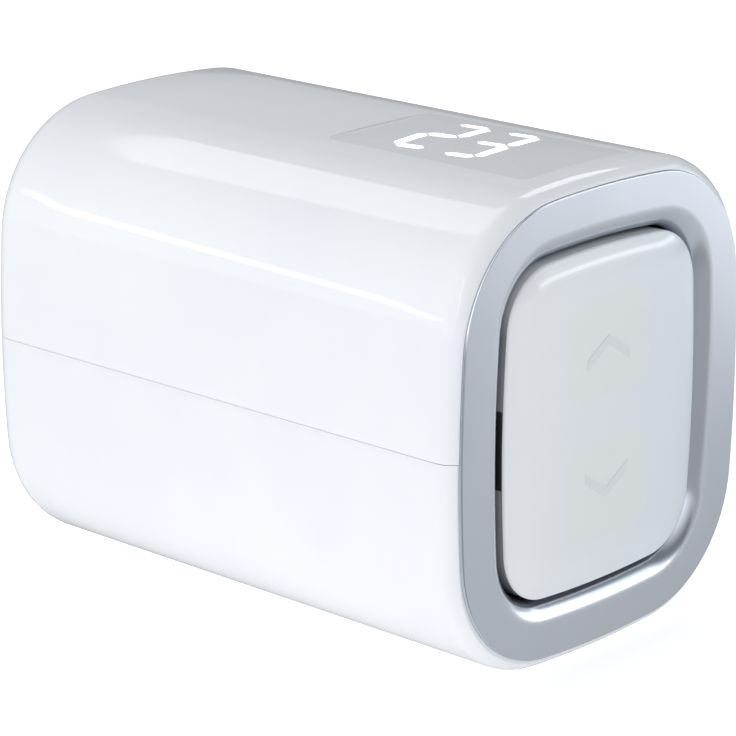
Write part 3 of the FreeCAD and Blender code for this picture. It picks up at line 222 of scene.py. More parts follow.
def corner_arc(width, height, corner, side, top):
    """the centres of the side's, the top's and the corner's arcs, and the corner's first and last turn"""
    side_centre = width / 2 - side
    top_centre = height / 2 - top
    span = math.hypot(side_centre, top_centre)
    reach_side, reach_top = side - corner, top - corner
    along = (reach_side ** 2 - reach_top ** 2 + span ** 2) / (2 * span)
    across = math.sqrt(reach_side ** 2 - along ** 2)
    corner_x = side_centre - along * side_centre / span - across * top_centre / span
    corner_z = along * top_centre / span - across * side_centre / span
    side_end = math.atan2(corner_z, corner_x - side_centre)
    top_end = math.atan2(corner_z - top_centre, corner_x)
    return side_centre, top_centre, corner_x, corner_z, side_end, top_end


def outline(width, height, corner, side=SIDE_CROWN, top=TOP_CROWN, steps=(10, 16, 10)):
    """(x, z) points once round a section of four crowned sides and four round corners"""
    side_centre, top_centre, corner_x, corner_z, side_end, top_end = corner_arc(
        width, height, corner, side, top)
    arcs = ((side_centre, 0, side, 0, side_end, steps[0]),
            (corner_x, corner_z, corner, side_end, top_end, steps[1]),
            (0, top_centre, top, top_end, math.pi / 2, steps[2]))
    quarter = []
    for x, z, radius, first, last, count in arcs:
        for k in range(count):
            turn = first + (last - first) * k / count
            quarter.append((x + radius * math.cos(turn), z + radius * math.sin(turn)))
    quarter.append((0, height / 2))
    second = [(-x, z) for x, z in reversed(quarter[1:-1])]
    half = quarter + second + [(-quarter[0][0], 0)]
    return half + [(x, -z) for x, z in reversed(half[1:-1])]


def grown_line(width, height, corner, grow, steps=(10, 16, 10)):
    """a section's outline, moved outwards all round"""
    return outline(width + 2 * grow, height + 2 * grow, corner + grow,
                   SIDE_CROWN + grow, TOP_CROWN + grow, steps)


def housing_line(inset):
    """the housing's outline, moved inwards"""
    return grown_line(HOUSING_WIDTH, HOUSING_HEIGHT, CORNER, -inset)


def inset_from(x, z, width, height, corner):
    """how far a point lies inside a crowned section's outline"""
    side_centre, top_centre, corner_x, corner_z, side_end, top_end = corner_arc(
        width, height, corner, SIDE_CROWN, TOP_CROWN)
    turn = math.atan2(abs(z) - corner_z, abs(x) - corner_x)
    if side_end < turn < top_end:
        return corner - math.hypot(abs(x) - corner_x, abs(z) - corner_z)
    return min(SIDE_CROWN - math.hypot(abs(x) - side_centre, z),
               TOP_CROWN - math.hypot(x, abs(z) - top_centre))


def at_depth(line, y):
    """an outline as a ring of points across the object, at one depth"""
    return [place(x, y, z) for x, z in line]


def round_ring(radius, y, line):
    """a ring of a radius whose points look the same way from the middle as an outline's"""
    turns = [math.atan2(z, x) for x, z in line]
    return [place(radius * math.cos(t), y, radius * math.sin(t)) for t in turns]


def loft(name, rings, closed=False):
    """a skin drawn through rings: a circle is laid on the first one and extruded from ring to ring"""
    pick_nothing()
    bpy.ops.mesh.primitive_circle_add(vertices=len(rings[0]), radius=HOUSING_WIDTH / 2 * MM)
    piece = bpy.context.object
    piece.name = piece.data.name = name
    bpy.ops.object.mode_set(mode="EDIT")
    mesh = bmesh.from_edit_mesh(piece.data)
    order = mesh.verts.layers.int.new("order")
    mesh.verts.layers.int.new("row")
    for k, corner in enumerate(mesh.verts):
        corner[order] = k
        corner.co = rings[0][k]
    last = len(rings)
    for step, ring in enumerate(rings[1:] + (rings[:1] if closed else [])):
        bpy.ops.mesh.extrude_region_move()
        mesh = bmesh.from_edit_mesh(piece.data)
        order = mesh.verts.layers.int["order"]
        row = mesh.verts.layers.int["row"]
        for corner in mesh.verts:
            if corner.select:
                corner.co = ring[corner[order]]
                corner[row] = (step + 1) % last
    bmesh.update_edit_mesh(piece.data)
    tidy(piece)
    return piece


def tidy(piece):
    """doubles merged and every face turned outwards"""
    start_edit(piece)
    bpy.ops.mesh.remove_doubles(threshold=CLOSE)
    bpy.ops.mesh.normals_make_consistent(inside=False)
    end_edit()


def round_edges(piece, wanted, width, segments=2):
    """the edges for which wanted(mesh, edge) is true get a small round"""
    start_edit(piece, "DESELECT")
    bpy.ops.mesh.select_mode(type="EDGE")
    mesh = bmesh.from_edit_mesh(piece.data)
    for edge in mesh.edges:
        edge.select = wanted(mesh, edge)
    mesh.select_flush_mode()
    bmesh.update_edit_mesh(piece.data)
    bpy.ops.mesh.bevel(offset=width * MM, segments=segments, profile=0.5, affect="EDGES")
    end_edit()


def on_row(number):
    """picks the edges that run along one ring of a lofted piece"""
    def wanted(mesh, edge):
        row = mesh.verts.layers.int["row"]
        return all(corner[row] == number for corner in edge.verts)
    return wanted


def slice_off(piece, point, direction):
    """what lies beyond a plane, on the side its direction points to, is cut away"""
    start_edit(piece)
    bpy.ops.mesh.bisect(plane_co=point, plane_no=direction, use_fill=True, clear_outer=True, threshold=CLOSE)
    end_edit()


def twin(piece, name):
    """a copy with its own mesh"""
    copy = piece.copy()
    copy.data = piece.data.copy()
    copy.name = copy.data.name = name
    bpy.context.scene.collection.objects.link(copy)
    return copy


def join(piece, others):
    """the others become part of the piece"""
    pick(piece)
    for other in others:
        other.select_set(True)
    bpy.ops.object.join()


def modify(piece, kind, **settings):
    """one modifier, applied at once"""
    pick(piece)
    change = piece.modifiers.new("change", kind)
    for key, value in settings.items():
        setattr(change, key, value)
    bpy.ops.object.modifier_apply(modifier=change.name)


def smooth(piece, angle=30):
    """soft shading, with a crease wherever two faces turn by more than the angle"""
    pick(piece)
    bpy.ops.object.shade_smooth_by_angle(angle=math.radians(angle))


def even_light(piece):
    """normals follow the large faces, so that flats next to rounds stay flat"""
    modify(piece, "WEIGHTED_NORMAL", keep_sharp=True)


def dress(piece, finish, slot):
    """the piece wears one finish; its slot is not used"""
    piece.data.materials.clear()
    piece.data.materials.append(FINISH[finish])


def put(piece, body, node, slot, finish=None):
    """the finished piece rides on a body, stands for a CAD node and wears its slot's finish or another"""
    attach(piece, body)
    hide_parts(node)
    dress(piece, finish or slot, slot)


def add_on(piece, body, finish, slot):
    """a piece that the CAD doesn't have rides on a body"""
    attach(piece, body)
    dress(piece, finish, slot)


# Finishes

# scales of the noise patterns: soft patches of colour, and the surface's own texture
BROAD_GRAIN = 60.0
FINE_GRAIN = 900.0
GUIDE_GRAIN = 300.0
FILM_GRAIN = 500.0
FLOOR_GRAIN = 6.0


def feed(tree, node, inputs):
    """sockets are linked to a node's inputs, plain values are set on them"""
    for key, value in inputs.items():
        if isinstance(value, bpy.types.NodeSocket):
            tree.links.new(value, node.inputs[key])
        else:
            node.inputs[key].default_value = value


def wired(tree, kind, inputs, output=0, **settings):
    """adds a node with its settings and inputs, and gives back one of its outputs"""
    node = tree.nodes.new(kind)
    for key, value in settings.items():
        setattr(node, key, value)
    feed(tree, node, inputs)
    return node.outputs[output]


def new_finish(name):
    """a new material, its nodes, its shader and the object's own coordinates"""
    material = bpy.data.materials.new(name)
    material.use_nodes = True
    tree = material.node_tree
    return material, tree, tree.nodes["Principled BSDF"], wired(tree, "ShaderNodeTexCoord", {}, "Object")


def grain(tree, where, scale, detail, stretch=None):
    """a noise pattern at a scale, stretched along an axis if wanted"""
    if stretch:
        where = wired(tree, "ShaderNodeMapping", {"Vector": where, "Scale": stretch})
    return wired(tree, "ShaderNodeTexNoise", {"Vector": where, "Scale": scale, "Detail": detail}, "Fac")


def colours(tree, source, *stops):
    """a pattern turned into colours by (place, colour) stops, given from low to high"""
    ramp = tree.nodes.new("ShaderNodeValToRGB")
    feed(tree, ramp, {"Fac": source})
    elements = ramp.color_ramp.elements
    for end, (spot, colour) in ((0, stops[0]), (1, stops[-1])):
        elements[end].position = spot
        elements[end].color = (*colour, 1)
    for spot, colour in stops[1:-1]:
        elements.new(spot).color = (*colour, 1)
    return ramp.outputs["Color"]


def mottled(tree, where, first, second):
    """two close colours in broad, soft patches"""
    return colours(tree, grain(tree, where, BROAD_GRAIN, 2.0), (0.35, first), (0.65, second))


def spread(tree, source, first, last, low=0.0, high=1.0, shape="LINEAR"):
    """a value that runs from low to high brought to the range from first to last"""
    return wired(tree, "ShaderNodeMapRange", {"Value": source, "From Min": low, "From Max": high,
                                              "To Min": first, "To Max": last}, interpolation_type=shape)


def worked(tree, operation, *values):
    """one arithmetic operation on numbers or patterns"""
    return wired(tree, "ShaderNodeMath", dict(enumerate(values)), operation=operation)


def toward(tree, source, direction):
    """how far a vector reaches in a direction"""
    return wired(tree, "ShaderNodeVectorMath", {0: source, 1: direction}, "Value", operation="DOT_PRODUCT")


def mixed(tree, share, first, second):
    """a colour between two, by a share"""
    return wired(tree, "ShaderNodeMix", {"Factor": share, 6: first, 7: second}, 2, data_type="RGBA")


def one_axis(tree, where, axis):
    """one coordinate of a place on the object"""
    return wired(tree, "ShaderNodeSeparateXYZ", {"Vector": where}, axis)


def coat_with(tree, shader, colour, fine, rough, texture):
    """a shader's colour, its uneven roughness and its fine surface texture"""
    relief = wired(tree, "ShaderNodeBump", {"Height": fine, "Strength": 1.0, "Distance": texture})
    feed(tree, shader, {"Base Color": colour, "Roughness": spread(tree, fine, *rough), "Normal": relief})


def moulded(name, first, second, rough, texture, metal=0.0, stretch=None):
    """a moulded, plated or drawn finish: two close colours, uneven roughness and a fine surface texture"""
    material, tree, shader, where = new_finish(name)
    feed(tree, shader, {"Metallic": metal, "IOR": 1.5})
    fine = grain(tree, where, FINE_GRAIN, 4.0, stretch)
    coat_with(tree, shader, mottled(tree, where, first, second), fine, rough, texture)
    return material


def glowing(name, colour, strength):
    """a light guide: white plastic that shines, a little unevenly along its length"""
    material, tree, shader, where = new_finish(name)
    glow = grain(tree, where, GUIDE_GRAIN, 2.0)
    tone = colours(tree, glow, (0.35, colour), (0.65, (1, 1, 1)))
    feed(tree, shader, {"Roughness": 0.2, "Base Color": tone, "Emission Color": tone,
                        "Emission Strength": spread(tree, glow, strength * 0.95, strength)})
    return material


def painted_shade_skirt_finish():
    """grey of the skirt with painted shade and light: dark at its lower end and pale at its upper end"""
    material, tree, shader, where = new_finish("painted_shade_skirt")
    fine = grain(tree, where, FINE_GRAIN, 4.0)
    # painted shade and light: the grey rises from near black at the lower end to pale at the upper end
    upper = spread(tree, one_axis(tree, where, "Z"), 0.0, 0.97, -0.024, 0.022)
    tone = colours(tree, worked(tree, "MULTIPLY_ADD", fine, 0.04, upper),
                   (0.08, (0.04, 0.042, 0.05)), (0.22, (0.2, 0.206, 0.216)),
                   (0.8, (0.22, 0.2266, 0.2376)), (1.0, (0.66, 0.67, 0.69)))
    coat_with(tree, shader, tone, fine, (0.2, 0.3), 1e-6)
    return material


def key_finish():
    """gloss white of the front key with painted shade that turns it darker and bluer towards the right, and
    a shade warmer on its two touch fields
    """
    material, tree, shader, where = new_finish("gloss_white_key_painted_shade")
    half = KEY_WIDTH / 2 * MM
    # painted shade: pale on the left, darker and bluer towards the right, where less light falls
    across = spread(tree, one_axis(tree, where, "X"), 0.0, 1.0, -half, half)
    pearl = worked(tree, "MULTIPLY_ADD", grain(tree, where, BROAD_GRAIN, 2.0), 0.12, across)
    off_field_painted_shade = colours(tree, pearl, (0, (0.79, 0.798, 0.812)), (1, (0.675, 0.725, 0.78)))
    on_field_painted_shade = colours(tree, pearl, (0, (0.765, 0.785, 0.778)), (1, (0.69, 0.742, 0.745)))
    on_field = wired(tree, "ShaderNodeAttribute", {}, "Fac", attribute_name="field")
    fine = grain(tree, where, FINE_GRAIN, 4.0)
    coat_with(tree, shader, mixed(tree, on_field, off_field_painted_shade, on_field_painted_shade), fine, (0.06, 0.09), 2e-7)
    return material


def sleeve_finish():
    """printed film on the cells: dark, with a pale band near each end"""
    material, tree, shader, where = new_finish("cell_sleeve")
    dark = mottled(tree, where, (0.035, 0.06, 0.10), (0.045, 0.075, 0.12))
    pale = mottled(tree, where, (0.62, 0.64, 0.66), (0.68, 0.70, 0.72))
    from_middle = worked(tree, "ADD", one_axis(tree, where, "Y"), (THREAD_END - CELL_MIDDLE) * MM)
    far = worked(tree, "ABSOLUTE", from_middle)
    band = worked(tree, "MULTIPLY", spread(tree, far, 0.0, 1.0, 0.0169, 0.0171),
                  spread(tree, far, 1.0, 0.0, 0.0199, 0.0201))
    fine = grain(tree, where, FILM_GRAIN, 3.0)
    coat_with(tree, shader, mixed(tree, band, dark, pale), fine, (0.18, 0.28), 1e-6)
    return material


FINISH = {
    "shell_white": moulded("gloss_white_plastic", (0.80, 0.82, 0.85), (0.82, 0.84, 0.865),
                           (0.05, 0.08), 2e-7),
    "bezel_silver": moulded("satin_silver_plating", (0.74, 0.79, 0.865), (0.77, 0.82, 0.895), (0.22, 0.24),
                            2e-7, metal=1.0),
    "key_white": key_finish(),
    "mark_pearl": moulded("pearl_white_print", (0.665, 0.70, 0.72), (0.68, 0.715, 0.735), (0.08, 0.1), 5e-7),
    "window_white": moulded("smoked_white_window", (0.715, 0.737, 0.758), (0.735, 0.757, 0.778),
                            (0.04, 0.06), 1e-7),
    "segment_lit": glowing("lit_light_guide", (0.96, 0.98, 1.0), 1.15),
    "segment_dark": moulded("unlit_light_guide", (0.725, 0.745, 0.765), (0.745, 0.765, 0.785),
                            (0.05, 0.08), 2e-7),
    # painted shade: the skirt's grey stands for the shade in the gap round the key
    "painted_shade_skirt_grey": painted_shade_skirt_finish(),
    # painted shade: black for the darkest part of the gap beside the key
    "painted_shade_black": moulded("black_painted_shade", (0.012, 0.012, 0.013), (0.02, 0.02, 0.022), (0.35, 0.5), 2e-6),
    "frame_grey": moulded("dark_grey_plastic", (0.035, 0.036, 0.04), (0.05, 0.05, 0.055), (0.4, 0.55), 2e-6),
    "chassis_white": moulded("matt_white_plastic", (0.66, 0.67, 0.68), (0.72, 0.72, 0.73), (0.4, 0.5), 3e-6),
    "light_box_white": moulded("light_box_plastic", (0.82, 0.82, 0.82), (0.86, 0.86, 0.86),
                               (0.5, 0.6), 2e-6),
    "board_green": moulded("circuit_board", (0.01, 0.10, 0.05), (0.02, 0.16, 0.07), (0.25, 0.4), 3e-6),
    "component_black": moulded("component_resin", (0.015, 0.015, 0.016), (0.03, 0.03, 0.032),
                               (0.4, 0.6), 3e-6),
    "lamp_yellow": moulded("lamp_resin", (0.75, 0.66, 0.2), (0.8, 0.72, 0.3), (0.2, 0.3), 1e-6),
    "shield_tin": moulded("tinned_shield", (0.62, 0.62, 0.62), (0.7, 0.7, 0.7), (0.25, 0.4), 2e-6,
                          metal=1.0),
    "cable_amber": moulded("amber_film", (0.35, 0.14, 0.02), (0.45, 0.2, 0.03), (0.2, 0.3), 1e-6),
    "screw_steel": moulded("screw_steel", (0.45, 0.46, 0.48), (0.55, 0.56, 0.58), (0.25, 0.38), 2e-6,
                           metal=1.0),
    "cell_sleeve": sleeve_finish(),
    "cell_steel": moulded("cell_steel", (0.6, 0.6, 0.6), (0.68, 0.68, 0.68), (0.2, 0.32), 1e-6, metal=1.0),
    "contact_nickel": moulded("nickel_spring", (0.6, 0.58, 0.54), (0.7, 0.68, 0.64), (0.2, 0.3), 2e-6,
                              metal=1.0),
    "motor_steel": moulded("drawn_steel", (0.5, 0.5, 0.51), (0.6, 0.6, 0.61), (0.22, 0.35), 2e-6, metal=1.0,
                           stretch=(1, 12, 1)),
    "gear_acetal": moulded("acetal", (0.74, 0.73, 0.68), (0.8, 0.79, 0.74), (0.3, 0.4), 2e-6),
    "nut_brass": moulded("turned_brass", (0.62, 0.42, 0.16), (0.7, 0.5, 0.22), (0.2, 0.32), 2e-6, metal=1.0),
    "collar_nickel": moulded("nickelled_brass", (0.62, 0.6, 0.56), (0.7, 0.68, 0.64), (0.16, 0.26), 2e-6,
                             metal=1.0),
    "lead_red": moulded("lead_insulation", (0.35, 0.02, 0.02), (0.45, 0.04, 0.03), (0.35, 0.45), 2e-6),
}

NODE_SLOT = {entry["node"]: entry["material_slot"] for entry in frame["record"]["subparts"]}
for name, node in nodes.items():
    node.data.materials.clear()
    node.data.materials.append(FINISH[NODE_SLOT[name]])


# Housing

def housing_tube():
    """the whole housing as one hollow body, open at the front for the bezel and at the back for the nut"""
    body_line = housing_line(0)
    seat = outline(BEZEL_WIDTH + 2 * SEAT_FIT, BEZEL_HEIGHT + 2 * SEAT_FIT, BEZEL_CORNER + SEAT_FIT)
    rings = [at_depth(seat, SEAT_END)]
    insets = [inset_from(x, z, HOUSING_WIDTH, HOUSING_HEIGHT, CORNER) for x, z in seat]
    starts = [math.asin(1 - inset / FRONT_ROUND) for inset in insets]
    rings.append([place(x, FRONT_ROUND * (1 - math.cos(start)), z) for (x, z), start in zip(seat, starts)])
    lines = {}
    for k in range(1, ROUND_STEPS + 1):
        ring = []
        for index, first in enumerate(starts):
            turn = first + (math.pi / 2 - first) * k / ROUND_STEPS
            inset = FRONT_ROUND * (1 - math.sin(turn))
            key = round(inset, 6)
            if key not in lines:
                lines[key] = housing_line(inset)
            x, z = lines[key][index]
            ring.append(place(x, FRONT_ROUND * (1 - math.cos(turn)), z))
        rings.append(ring)
    length = HOUSING_LENGTH - REAR_ROUND - FRONT_ROUND
    for k in range(1, STRAIGHT_STEPS + 1):
        rings.append(at_depth(body_line, FRONT_ROUND + length * k / STRAIGHT_STEPS))
    for k in range(1, ROUND_STEPS + 1):
        turn = math.pi / 2 * (1 - k / ROUND_STEPS)
        rings.append(at_depth(housing_line(REAR_ROUND * (1 - math.sin(turn))),
                              HOUSING_LENGTH - REAR_ROUND * (1 - math.cos(turn))))
    rear_edge = len(rings)
    rings.append(round_ring(WELL_RADIUS, HOUSING_LENGTH, body_line))
    rings.append(round_ring(WELL_RADIUS, REAR_WALL, body_line))
    rings.append(at_depth(housing_line(WALL), REAR_WALL))
    rings.append(at_depth(housing_line(WALL), SEAT_END))
    tube = loft("housing_tube", rings, closed=True)
    round_edges(tube, on_row(1), SEAT_SOFT)
    round_edges(tube, on_row(rear_edge), WELL_SOFT, 3)
    return tube


def on_seam(height):
    """picks the outer edges of a half shell along the seam"""
    def wanted(mesh, edge):
        first, second = (corner.co for corner in edge.verts)
        flat = abs(first.z - height * MM) < CLOSE and abs(second.z - height * MM) < CLOSE
        outside = min(abs(first.x), abs(second.x)) > (HOUSING_WIDTH / 2 - WALL / 2) * MM
        return flat and outside and min(first.y, second.y) > place(0, FRONT_ROUND - 0.1, 0).y
    return wanted


UP = Vector((0, 0, 1))
tube = housing_tube()
slice_off(tube, (0, 0, FOOT * MM), -UP)
upper = twin(tube, "upper_shell_skin")
slice_off(upper, (0, 0, SEAM_HALF * MM), -UP)
lower = twin(tube, "battery_cover_skin")
slice_off(lower, (0, 0, -SEAM_HALF * MM), UP)
slice_off(lower, place(0, COVER_START, 0), Vector((0, -1, 0)))
bpy.data.objects.remove(tube)
round_edges(upper, on_seam(SEAM_HALF), SEAM_SOFT)
round_edges(lower, on_seam(-SEAM_HALF), SEAM_SOFT)


# Display window

def crown_height(x):
    """height of the housing's top at one x"""
    return HOUSING_HEIGHT / 2 - TOP_CROWN + math.sqrt(TOP_CROWN ** 2 - x * x)


def window_line(inset, steps=10):
    """(x, y) points once round the window, counter-clockwise seen from above"""
    half = WINDOW_WIDTH / 2 - inset
    near = WINDOW_START + inset
    far = WINDOW_START + WINDOW_LENGTH - inset
    corner = max(WINDOW_CORNER - inset, 0.01)
    points = []
    for x, y, first in ((half - corner, far - corner, 0), (-half + corner, far - corner, 90),
                        (-half + corner, near + corner, 180), (half - corner, near + corner, 270)):
        for k in range(steps + 1):
            turn = math.radians(first + 90 * k / steps)
            points.append((x + corner * math.cos(turn), y + corner * math.sin(turn)))
    return points


def window_prism(name, inset, low, sink):
    """a plate with the window's outline, its top sunk below the housing's crown or raised above it"""
    line = window_line(inset)
    rings = [[place(x, y, low) for x, y in line]]
    rings.append([place(x, y, crown_height(x) - sink) for x, y in line])
    middle = WINDOW_START + WINDOW_LENGTH / 2
    for k in range(1, WINDOW_LOOPS + 1):
        share = 1 - k / WINDOW_LOOPS
        rings.append([place(x * share, middle + (y - middle) * share, crown_height(x * share) - sink)
                      for x, y in line])
    rings.append([place(0, middle, low) for _ in line])
    return loft(name, rings, closed=True)


opening = window_prism("window_opening", 0.0, HOUSING_HEIGHT / 2 - OPENING_DEPTH, -OPENING_RISE)
modify(upper, "BOOLEAN", object=opening, operation="DIFFERENCE", solver="EXACT")
bpy.data.objects.remove(opening)
window = window_prism("display_window_plate", WINDOW_FIT, HOUSING_HEIGHT / 2 - WALL - WINDOW_BACK,
                      WINDOW_SINK)
smooth(window)
put(window, "housing", "display_window", "window_white")


# Seam lips, tongues and snap tabs

def side_x(z, inset):
    """x of the housing's side at one height, moved inwards"""
    return HOUSING_WIDTH / 2 - SIDE_CROWN + math.sqrt((SIDE_CROWN - inset) ** 2 - z * z)


def bar(name, profile, start, end, edge):
    """a straight bar along the housing: a section of (x, z) points, closed at both ends, edges softened"""
    piece = loft(name, [at_depth(profile, start), at_depth(profile, end)])
    start_edit(piece)
    bpy.ops.mesh.fill_holes(sides=0)
    bpy.ops.mesh.normals_make_consistent(inside=False)
    end_edit()
    round_edges(piece, lambda mesh, line: True, edge)
    return piece


def side_bars(name, section, spans, edge=0.1):
    """bars along both sides, inside the housing"""
    bars = []
    for side in (1, -1):
        profile = [(side * side_x(z, inset), z) for inset, z in section]
        bars += [bar(name, profile, start, end, edge) for start, end in spans]
    return bars


smooth(upper)
join(upper, side_bars("tongue", TONGUE, TONGUE_SPANS) + side_bars("lip", SEAM_LIP, SEAM_LIP_SPANS, 0.02))
put(upper, "housing", "upper_shell", "shell_white")
smooth(lower)
join(lower, side_bars("tab", SNAP_TAB, SNAP_TAB_SPANS))
put(lower, "battery_cover", "lower_shell", "shell_white")


# Bezel

def bezel_ring():
    """flat plated ring with a soft outer edge and a lip that rolls inwards round the key"""
    def outer(inset):
        return grown_line(BEZEL_WIDTH, BEZEL_HEIGHT, BEZEL_CORNER, BEZEL_GROWTH - inset)

    def inner(grow):
        return grown_line(KEY_WIDTH, KEY_HEIGHT, KEY_CORNER, KEY_GAP + grow)

    rings = [at_depth(outer(0), BEZEL_DEPTH)]
    for k in range(BEZEL_STEPS + 1):
        turn = math.pi / 2 * (1 - k / BEZEL_STEPS)
        rings.append(at_depth(outer(BEZEL_ROUND * (1 - math.sin(turn))), BEZEL_ROUND * (1 - math.cos(turn))))
    rings.append(at_depth(inner(LIP_ROUND + LIP_MARGIN), 0))
    for k in range(LIP_STEPS + 1):
        turn = math.pi / 2 * k / LIP_STEPS
        rings.append(at_depth(inner(LIP_ROUND * (1 - math.sin(turn))), LIP_ROUND * (1 - math.cos(turn))))
    rings.append(at_depth(inner(0), BEZEL_DEPTH))
    return loft("silver_bezel", rings, closed=True)


bezel = bezel_ring()
smooth(bezel, 40)
even_light(bezel)
put(bezel, "housing", "front_bezel", "bezel_silver")


# Front key

def face_depth(x, z, lift):
    """depth of the key's face at one place: flat in the middle, with a wide soft rim"""
    rim = max(PILLOW_RIM - inset_from(x, z, KEY_WIDTH, KEY_HEIGHT, KEY_CORNER), 0)
    return KEY_FRONT + PILLOW_RADIUS - math.sqrt(PILLOW_RADIUS ** 2 - rim * rim) - lift


def field_share(x, z):
    """0 outside the two fields, 1 on them, with a soft edge between"""
    dx = abs(x) - FIELD_WIDTH / 2 + FIELD_CORNER
    dz = abs(abs(z) - FIELD_PLACE) - FIELD_HEIGHT / 2 + FIELD_CORNER
    inside = FIELD_CORNER - math.hypot(max(dx, 0), max(dz, 0)) - min(max(dx, dz), 0)
    share = min(max(inside / FIELD_EDGE, 0), 1)
    return share * share * (3 - 2 * share)


def key_line(grow):
    """the key's outline, moved outwards"""
    return grown_line(KEY_WIDTH, KEY_HEIGHT, KEY_CORNER, grow, KEY_STEPS)


def key_plate():
    """front plate with a small round edge, a soft rim and two faint fields, stepped in for the skirt"""
    cap_end = EDGE_DEPTH + KEY_WALL
    rings = [at_depth(key_line(-KEY_STEP), KEY_BACK), at_depth(key_line(-KEY_STEP), cap_end),
             at_depth(key_line(0), cap_end)]
    last = math.acos((PILLOW_RIM - KEY_ROUND) / EDGE_REACH)
    for k in range(KEY_TURNS + 1):
        turn = last * k / KEY_TURNS
        rings.append(at_depth(key_line(KEY_ROUND * (math.cos(turn) - 1)),
                              EDGE_DEPTH - KEY_ROUND * math.sin(turn)))
    edge = key_line(KEY_ROUND * (math.cos(last) - 1))
    for k in range(1, KEY_LOOPS + 1):
        share = 1 - k / KEY_LOOPS
        ring = []
        for x, z in edge:
            x, z = x * share, z * share
            ring.append(place(x, face_depth(x, z, -FIELD_SINK * field_share(x, z)), z))
        rings.append(ring)
    rings.append([place(0, KEY_BACK, 0) for _ in edge])
    return loft("front_key", rings, closed=True)


key = key_plate()
shares = key.data.attributes.new("field", "FLOAT", "POINT")
for corner, share in zip(key.data.vertices, shares.data):
    share.value = field_share(corner.co.x / MM, corner.co.z / MM)
smooth(key, 40)
put(key, "rocker", "rocker_key", "key_white")


def key_skirt():
    """grey band round the key, behind its white cap: a painted shade for the dark gap between the key and
    the bezel's lip
    """
    front = EDGE_DEPTH + KEY_WALL + SKIRT_GAP
    spots = ((SKIRT_INNER, KEY_BACK), (SKIRT_OUTER, KEY_BACK), (SKIRT_OUTER, front + SKIRT_BREAK),
             (SKIRT_FRONT, front), (SKIRT_INNER, front))
    return loft("key_painted_shade_band", [at_depth(key_line(-inset), y) for inset, y in spots], closed=True)


skirt = key_skirt()
smooth(skirt, 40)
add_on(skirt, "rocker", "painted_shade_skirt_grey", "frame_grey")


def painted_shade_pad(side):
    """black pad on one flank of the skirt: a painted shade where the gap beside the key is darkest"""
    heights = [PAD_LOW + (PAD_HIGH - PAD_LOW) * k / PAD_STEPS for k in range(PAD_STEPS + 1)]
    flank = SIDE_CROWN - KEY_WIDTH / 2
    outer = [(side * (math.sqrt(SIDE_CROWN ** 2 - z * z) - flank), z) for z in heights]
    inner = [(x - side * PAD_THICK, z) for x, z in reversed(outer)]
    name = "painted_shade_pad_" + ("right" if side > 0 else "left")
    pad = bar(name, outer + inner, EDGE_DEPTH + PAD_SINK, KEY_BACK, PAD_SOFT)
    smooth(pad, 40)
    add_on(pad, "rocker", "painted_shade_black", "frame_grey")


painted_shade_pad(1)
painted_shade_pad(-1)


def chevron(name, direction):
    """a thin bent bar that follows the key's face, its tip pointing up or down"""
    middle = direction * FIELD_PLACE
    half = MARK_WIDTH / 2
    pick_nothing()
    bpy.ops.mesh.primitive_grid_add(x_subdivisions=16, y_subdivisions=4, size=1)
    mark = bpy.context.object
    mark.name = mark.data.name = name
    for corner in mark.data.vertices:
        across = corner.co.x * MARK_WIDTH
        down = (0.5 - corner.co.y) * MARK_STROKE
        z = middle + direction * (MARK_RISE / 2 - MARK_RISE * abs(across) / half - down)
        corner.co = place(across, face_depth(across, z, MARK_PROUD - FIELD_SINK), z)
    start_edit(mark)
    bpy.ops.mesh.extrude_region_move(TRANSFORM_OT_translate={"value": (0, MARK_DEPTH * MM, 0)})
    end_edit()
    tidy(mark)
    smooth(mark, 40)
    return mark


marks = chevron("upper_chevron", 1)
join(marks, [chevron("lower_chevron", -1)])
marks.name = "key_chevrons"
put(marks, "rocker", "key_marks", "mark_pearl")


# Digits

LIT = (("top", "upper_right", "middle", "lower_left", "bottom"),
       ("top", "upper_right", "middle", "lower_right", "bottom"))
ENDS = {"top": ((-1, 1), (1, 1)), "middle": ((-1, 0), (1, 0)), "bottom": ((-1, -1), (1, -1)),
        "upper_left": ((-1, 0), (-1, 1)), "upper_right": ((1, 0), (1, 1)),
        "lower_left": ((-1, -1), (-1, 0)), "lower_right": ((1, -1), (1, 0))}


def on_display(digit, across, up):
    """(x, y) of a place in one digit"""
    x = FIRST_DIGIT[0] + digit * DIGIT_SHIFT + across * math.sin(ROW_TILT) + up * math.cos(SLANT)
    y = FIRST_DIGIT[1] - digit * DIGIT_PITCH - across * math.cos(ROW_TILT) + up * math.sin(SLANT)
    return x, y


